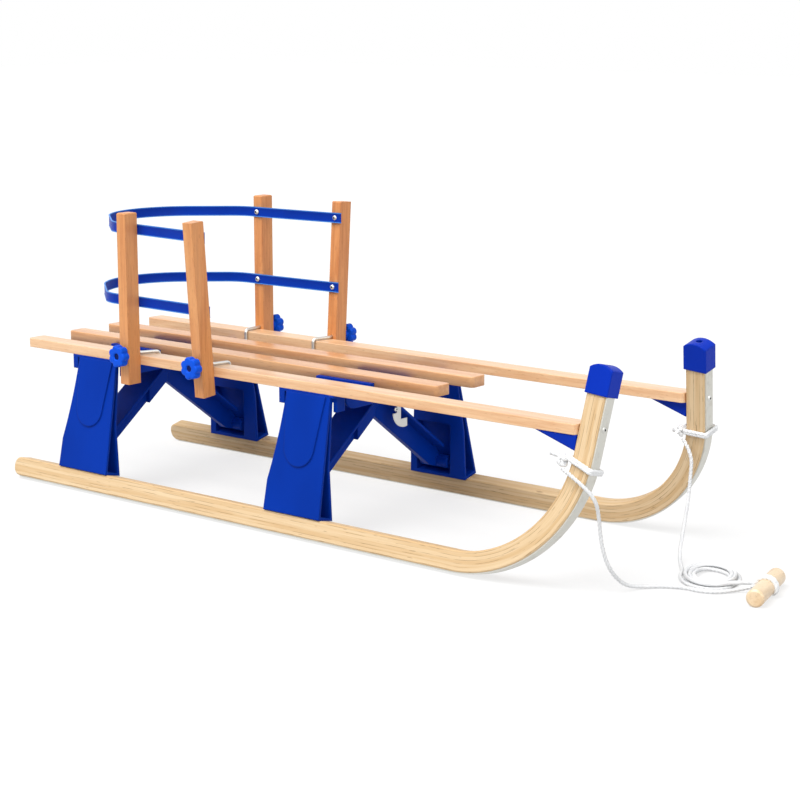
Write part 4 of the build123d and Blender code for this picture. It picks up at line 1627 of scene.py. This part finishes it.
@dataclass
class Seat:
    """The four slats and the gussets under the horns' joints."""

    middle: float = 0.215
    swell: float = 0.0016
    outer_wood: BeechFinish = BeechFinish(seed=1.3)
    # The inner slats' darker, more orange tone is partly their own wood and partly
    # painted shade from the gaps between the slats.
    inner_wood: BeechFinish = BeechFinish(
        tone=(222, 164, 110), dark=(192, 120, 70), pale=(238, 196, 148), seed=4.3
    )

    def inner_slat(self, side: Side) -> bpy.types.Object:
        """Copy an inner slat with its underside let into the crossbeams.

        Args:
            side: The slat's side.

        Returns:
            The copy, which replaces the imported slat.
        """
        node = f"inner_slat_{side.word}"
        bm = merged_copy(node)
        under = [vert for vert in bm.verts if vert.co.z < self.middle]
        bmesh.ops.translate(bm, vec=(0.0, 0.0, -self.swell), verts=under)
        piece = show(f"{node}_wood", bm)
        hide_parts(node)
        return piece

    def build(self, plastic: bpy.types.Material) -> None:
        """Dress the slats, each with its own cut of wood, and the gussets; the inner
        slats' darker tone is partly painted shade.

        Args:
            plastic: The gussets' material.
        """
        for side in Side:
            outer, inner = (
                replace(wood, seed=wood.seed + side.value)
                for wood in (self.outer_wood, self.inner_wood)
            )
            planks = outer.material(f"slat_wood_outer_{side.word}")
            repaint(f"outer_slat_{side.word}", planks)
            piece = self.inner_slat(side)
            planks = inner.material(f"slat_wood_inner_{side.word}")
            dress(piece, f"half_{side.word}", "slat_wood", planks)
            repaint(f"horn_gusset_{side.word}", plastic)


@dataclass
class Trestles:
    """The moulded legs, crossbeams and struts, and the front left strut's latch."""

    latch_seat: Triple = (0.0685, 0.0275, 0.157)
    latch_head: DomeScrew = DomeScrew(radius=0.0034, height=0.002, recess=0.0013)

    def build(self, finishes: Finishes) -> None:
        """Dress the trestles and add the latch's screw.

        Args:
            finishes: The shared materials.
        """
        for end in ("rear", "front"):
            for side in Side:
                for stem in ("leg", "crossbeam", "strut"):
                    repaint(f"{stem}_{end}_{side.word}", finishes["leg"])
        repaint("latch_hook", finishes["zinc"])
        bm = bmesh.new()
        self.latch_head.add(bm, Vector(self.latch_seat), Vector((1.0, 0.0, 0.0)))
        # The second material is the painted shade in the screw head's recess.
        metals = (finishes["zinc"], finishes["dark"])
        dress(show("latch_screw", bm), "struts_left", "zinc_steel", *metals)


@dataclass(frozen=True)
class Sun:
    """A soft sun: where it shines from, its share of full light and its angle."""

    source: Triple
    level: float
    softness: float

    def build(self, name: str) -> None:
        """Link the sun.

        Args:
            name: The light's name.
        """
        data = bpy.data.lights.new(name, "SUN")
        data.energy = self.level * math.pi
        data.angle = math.radians(self.softness)
        turn = Vector(self.source).to_track_quat("Z", "Y")
        link(name, data).rotation_euler = turn.to_euler()


@dataclass
class Studio:
    """The pale floor, the soft lights and the camera."""

    floor_half: float = 14.0
    floor_drop: float = 0.0003
    floor_tone: Triple = (248, 248, 248)
    floor_tint: Triple = (244, 244, 244)
    bounce_tone: Triple = (202, 202, 202)
    white_share: float = 0.72
    world_level: float = 0.34
    key: Sun = Sun((-0.2, -0.65, 1.08), 1.0, 50.0)
    front: Sun = Sun((0.95, -0.3, 0.5), 0.36, 60.0)
    lens: float = 90.99
    sensor: float = 36.0
    far_clip: float = 60.0
    eye: Triple = (1.9147, -2.2573, 0.7677)
    yaw: float = -0.6775
    pitch: float = -0.2005

    @staticmethod
    def seen(graph: Graph) -> Wire:
        """Tell the rays of the camera and of glossy surfaces from all others.

        Args:
            graph: The graph that asks.

        Returns:
            1 for such a ray, and 0 for any other.
        """
        rays = graph.node("ShaderNodeLightPath").outputs
        camera = Wire(graph, rays["Is Camera Ray"])
        either = camera + Wire(graph, rays["Is Glossy Ray"])
        return either.math("MINIMUM", either, 1.0)

    def floor(self) -> None:
        """Lay the floor, which shows white and keeps a soft shadow."""
        bm = bmesh.new()
        bmesh.ops.create_grid(bm, x_segments=4, y_segments=4, size=self.floor_half)
        bmesh.ops.translate(bm, vec=(0.0, 0.0, -self.floor_drop), verts=bm.verts)
        piece = show("floor", bm)
        graph = Graph.of_material("floor_paper")
        tint = graph.noise(graph.object_place(), 3.0)
        colour = graph.mix(tint * 0.3, srgb(self.floor_tone), srgb(self.floor_tint))
        camera_ray = graph.node("ShaderNodeLightPath").outputs["Is Camera Ray"]
        colour = graph.mix(camera_ray, srgb(self.bounce_tone), colour)
        paper = graph.node("ShaderNodeBsdfDiffuse", None, {"Color": colour})
        glow = {"Color": WHITE, "Strength": 1.0}
        white = graph.node("ShaderNodeEmission", None, glow)
        share = self.seen(graph) * self.white_share
        shaders = {0: share, 1: paper.outputs[0], 2: white.outputs[0]}
        mixed = graph.node("ShaderNodeMixShader", None, shaders)
        graph.node("ShaderNodeOutputMaterial", None, {"Surface": mixed.outputs[0]})
        piece.data.materials.append(graph.owner)

    def world(self) -> None:
        """Light the sled all round, and show white behind it and in its gloss."""
        world = bpy.data.worlds.new("studio")
        bpy.context.scene.world = world
        graph = Graph(world)
        shaders = {0: self.seen(graph)}
        for place, level in ((1, self.world_level), (2, 1.0)):
            light = {"Color": WHITE, "Strength": level}
            shaders[place] = graph.node("ShaderNodeBackground", None, light).outputs[0]
        mixed = graph.node("ShaderNodeMixShader", None, shaders)
        graph.node("ShaderNodeOutputWorld", None, {"Surface": mixed.outputs[0]})

    def camera(self) -> None:
        """Stand the camera at the photograph's viewing angle."""
        data = bpy.data.cameras.new("camera")
        data.lens = self.lens
        data.sensor_width = self.sensor
        data.clip_end = self.far_clip
        level = math.cos(self.pitch)
        across, ahead = math.sin(self.yaw) * level, math.cos(self.yaw) * level
        aim = Vector((across, ahead, math.sin(self.pitch)))
        camera = link("camera", data)
        camera.location = self.eye
        camera.rotation_euler = aim.to_track_quat("-Z", "Y").to_euler()
        bpy.context.scene.camera = camera

    def build(self) -> None:
        """Set the whole studio up."""
        bpy.context.scene.view_settings.view_transform = "Standard"
        self.camera()
        self.floor()
        self.world()
        self.key.build("key")
        self.front.build("front")


def make_finishes() -> Finishes:
    """Make the shared materials.

    Returns:
        A material for each short name.
    """
    finishes = {
        "runner": ("laminated_runner", LaminatedFinish()),
        "leg": (
            "trestle_plastic",
            PlasticFinish(
                tone=(2, 51, 158), shade=(1, 42, 134), edge=0.0028, gloss=0.06
            ),
        ),
        "trim": (
            "trim_plastic",
            PlasticFinish(tone=(1, 47, 174), shade=(1, 40, 152), edge=0.003),
        ),
        "band": ("band_plastic", PlasticFinish(tone=(2, 52, 166), shade=(2, 44, 146))),
        # A lighter blue painted highlight along the bands' rims and edges.
        "rim": (
            "band_rim_plastic",
            PlasticFinish(tone=(66, 136, 222), shade=(52, 120, 212), gloss=0.2),
        ),
        "knob": (
            "knob_plastic",
            PlasticFinish(tone=(4, 82, 216), shade=(3, 70, 196), gloss=0.12),
        ),
        # Darker blue painted shade for the floor of the knobs' bores.
        "recess": (
            "recess_plastic",
            PlasticFinish(tone=(4, 26, 92), shade=(2, 16, 64)),
        ),
        "zinc": ("zinc_steel", SteelFinish()),
        "shoe": (
            "shoe_steel",
            SteelFinish(
                tone=(214, 213, 206),
                stain=(176, 170, 158),
                stretch=(0.1, 1.0, 1.0),
                roughness=0.36,
            ),
        ),
        "rope": ("rope_fibre", RopeFinish()),
        "handle": (
            "handle_wood",
            BeechFinish(
                tone=(232, 205, 168),
                dark=(206, 168, 120),
                pale=(242, 222, 190),
                grain=Grain.ALONG_Y,
            ),
        ),
        # Painted shade for the recesses of the screw heads.
        "dark": ("recess_dark", PaintedRecessShade()),
    }
    return {key: finish.material(name) for key, (name, finish) in finishes.items()}


def main() -> None:
    """Build the sled's pieces in order and report each."""
    logging.basicConfig(level=logging.INFO, format="%(name)s: %(message)s")
    Studio().build()
    LOG.info("studio set up")
    finishes = make_finishes()
    PullRope(Rope(), finishes["rope"]).build(finishes["handle"])
    LOG.info("rope laid")
    for side in Side:
        Runner(side).build(finishes)
        repaint(f"horn_cap_{side.word}", finishes["trim"])
        LOG.info("runner built: %s", side.word)
    Seat().build(finishes["trim"])
    LOG.info("seat dressed")
    Trestles().build(finishes)
    LOG.info("trestles dressed")
    Backrest().build(finishes)
    LOG.info("backrest built")


if __name__ == "__main__":
    main()
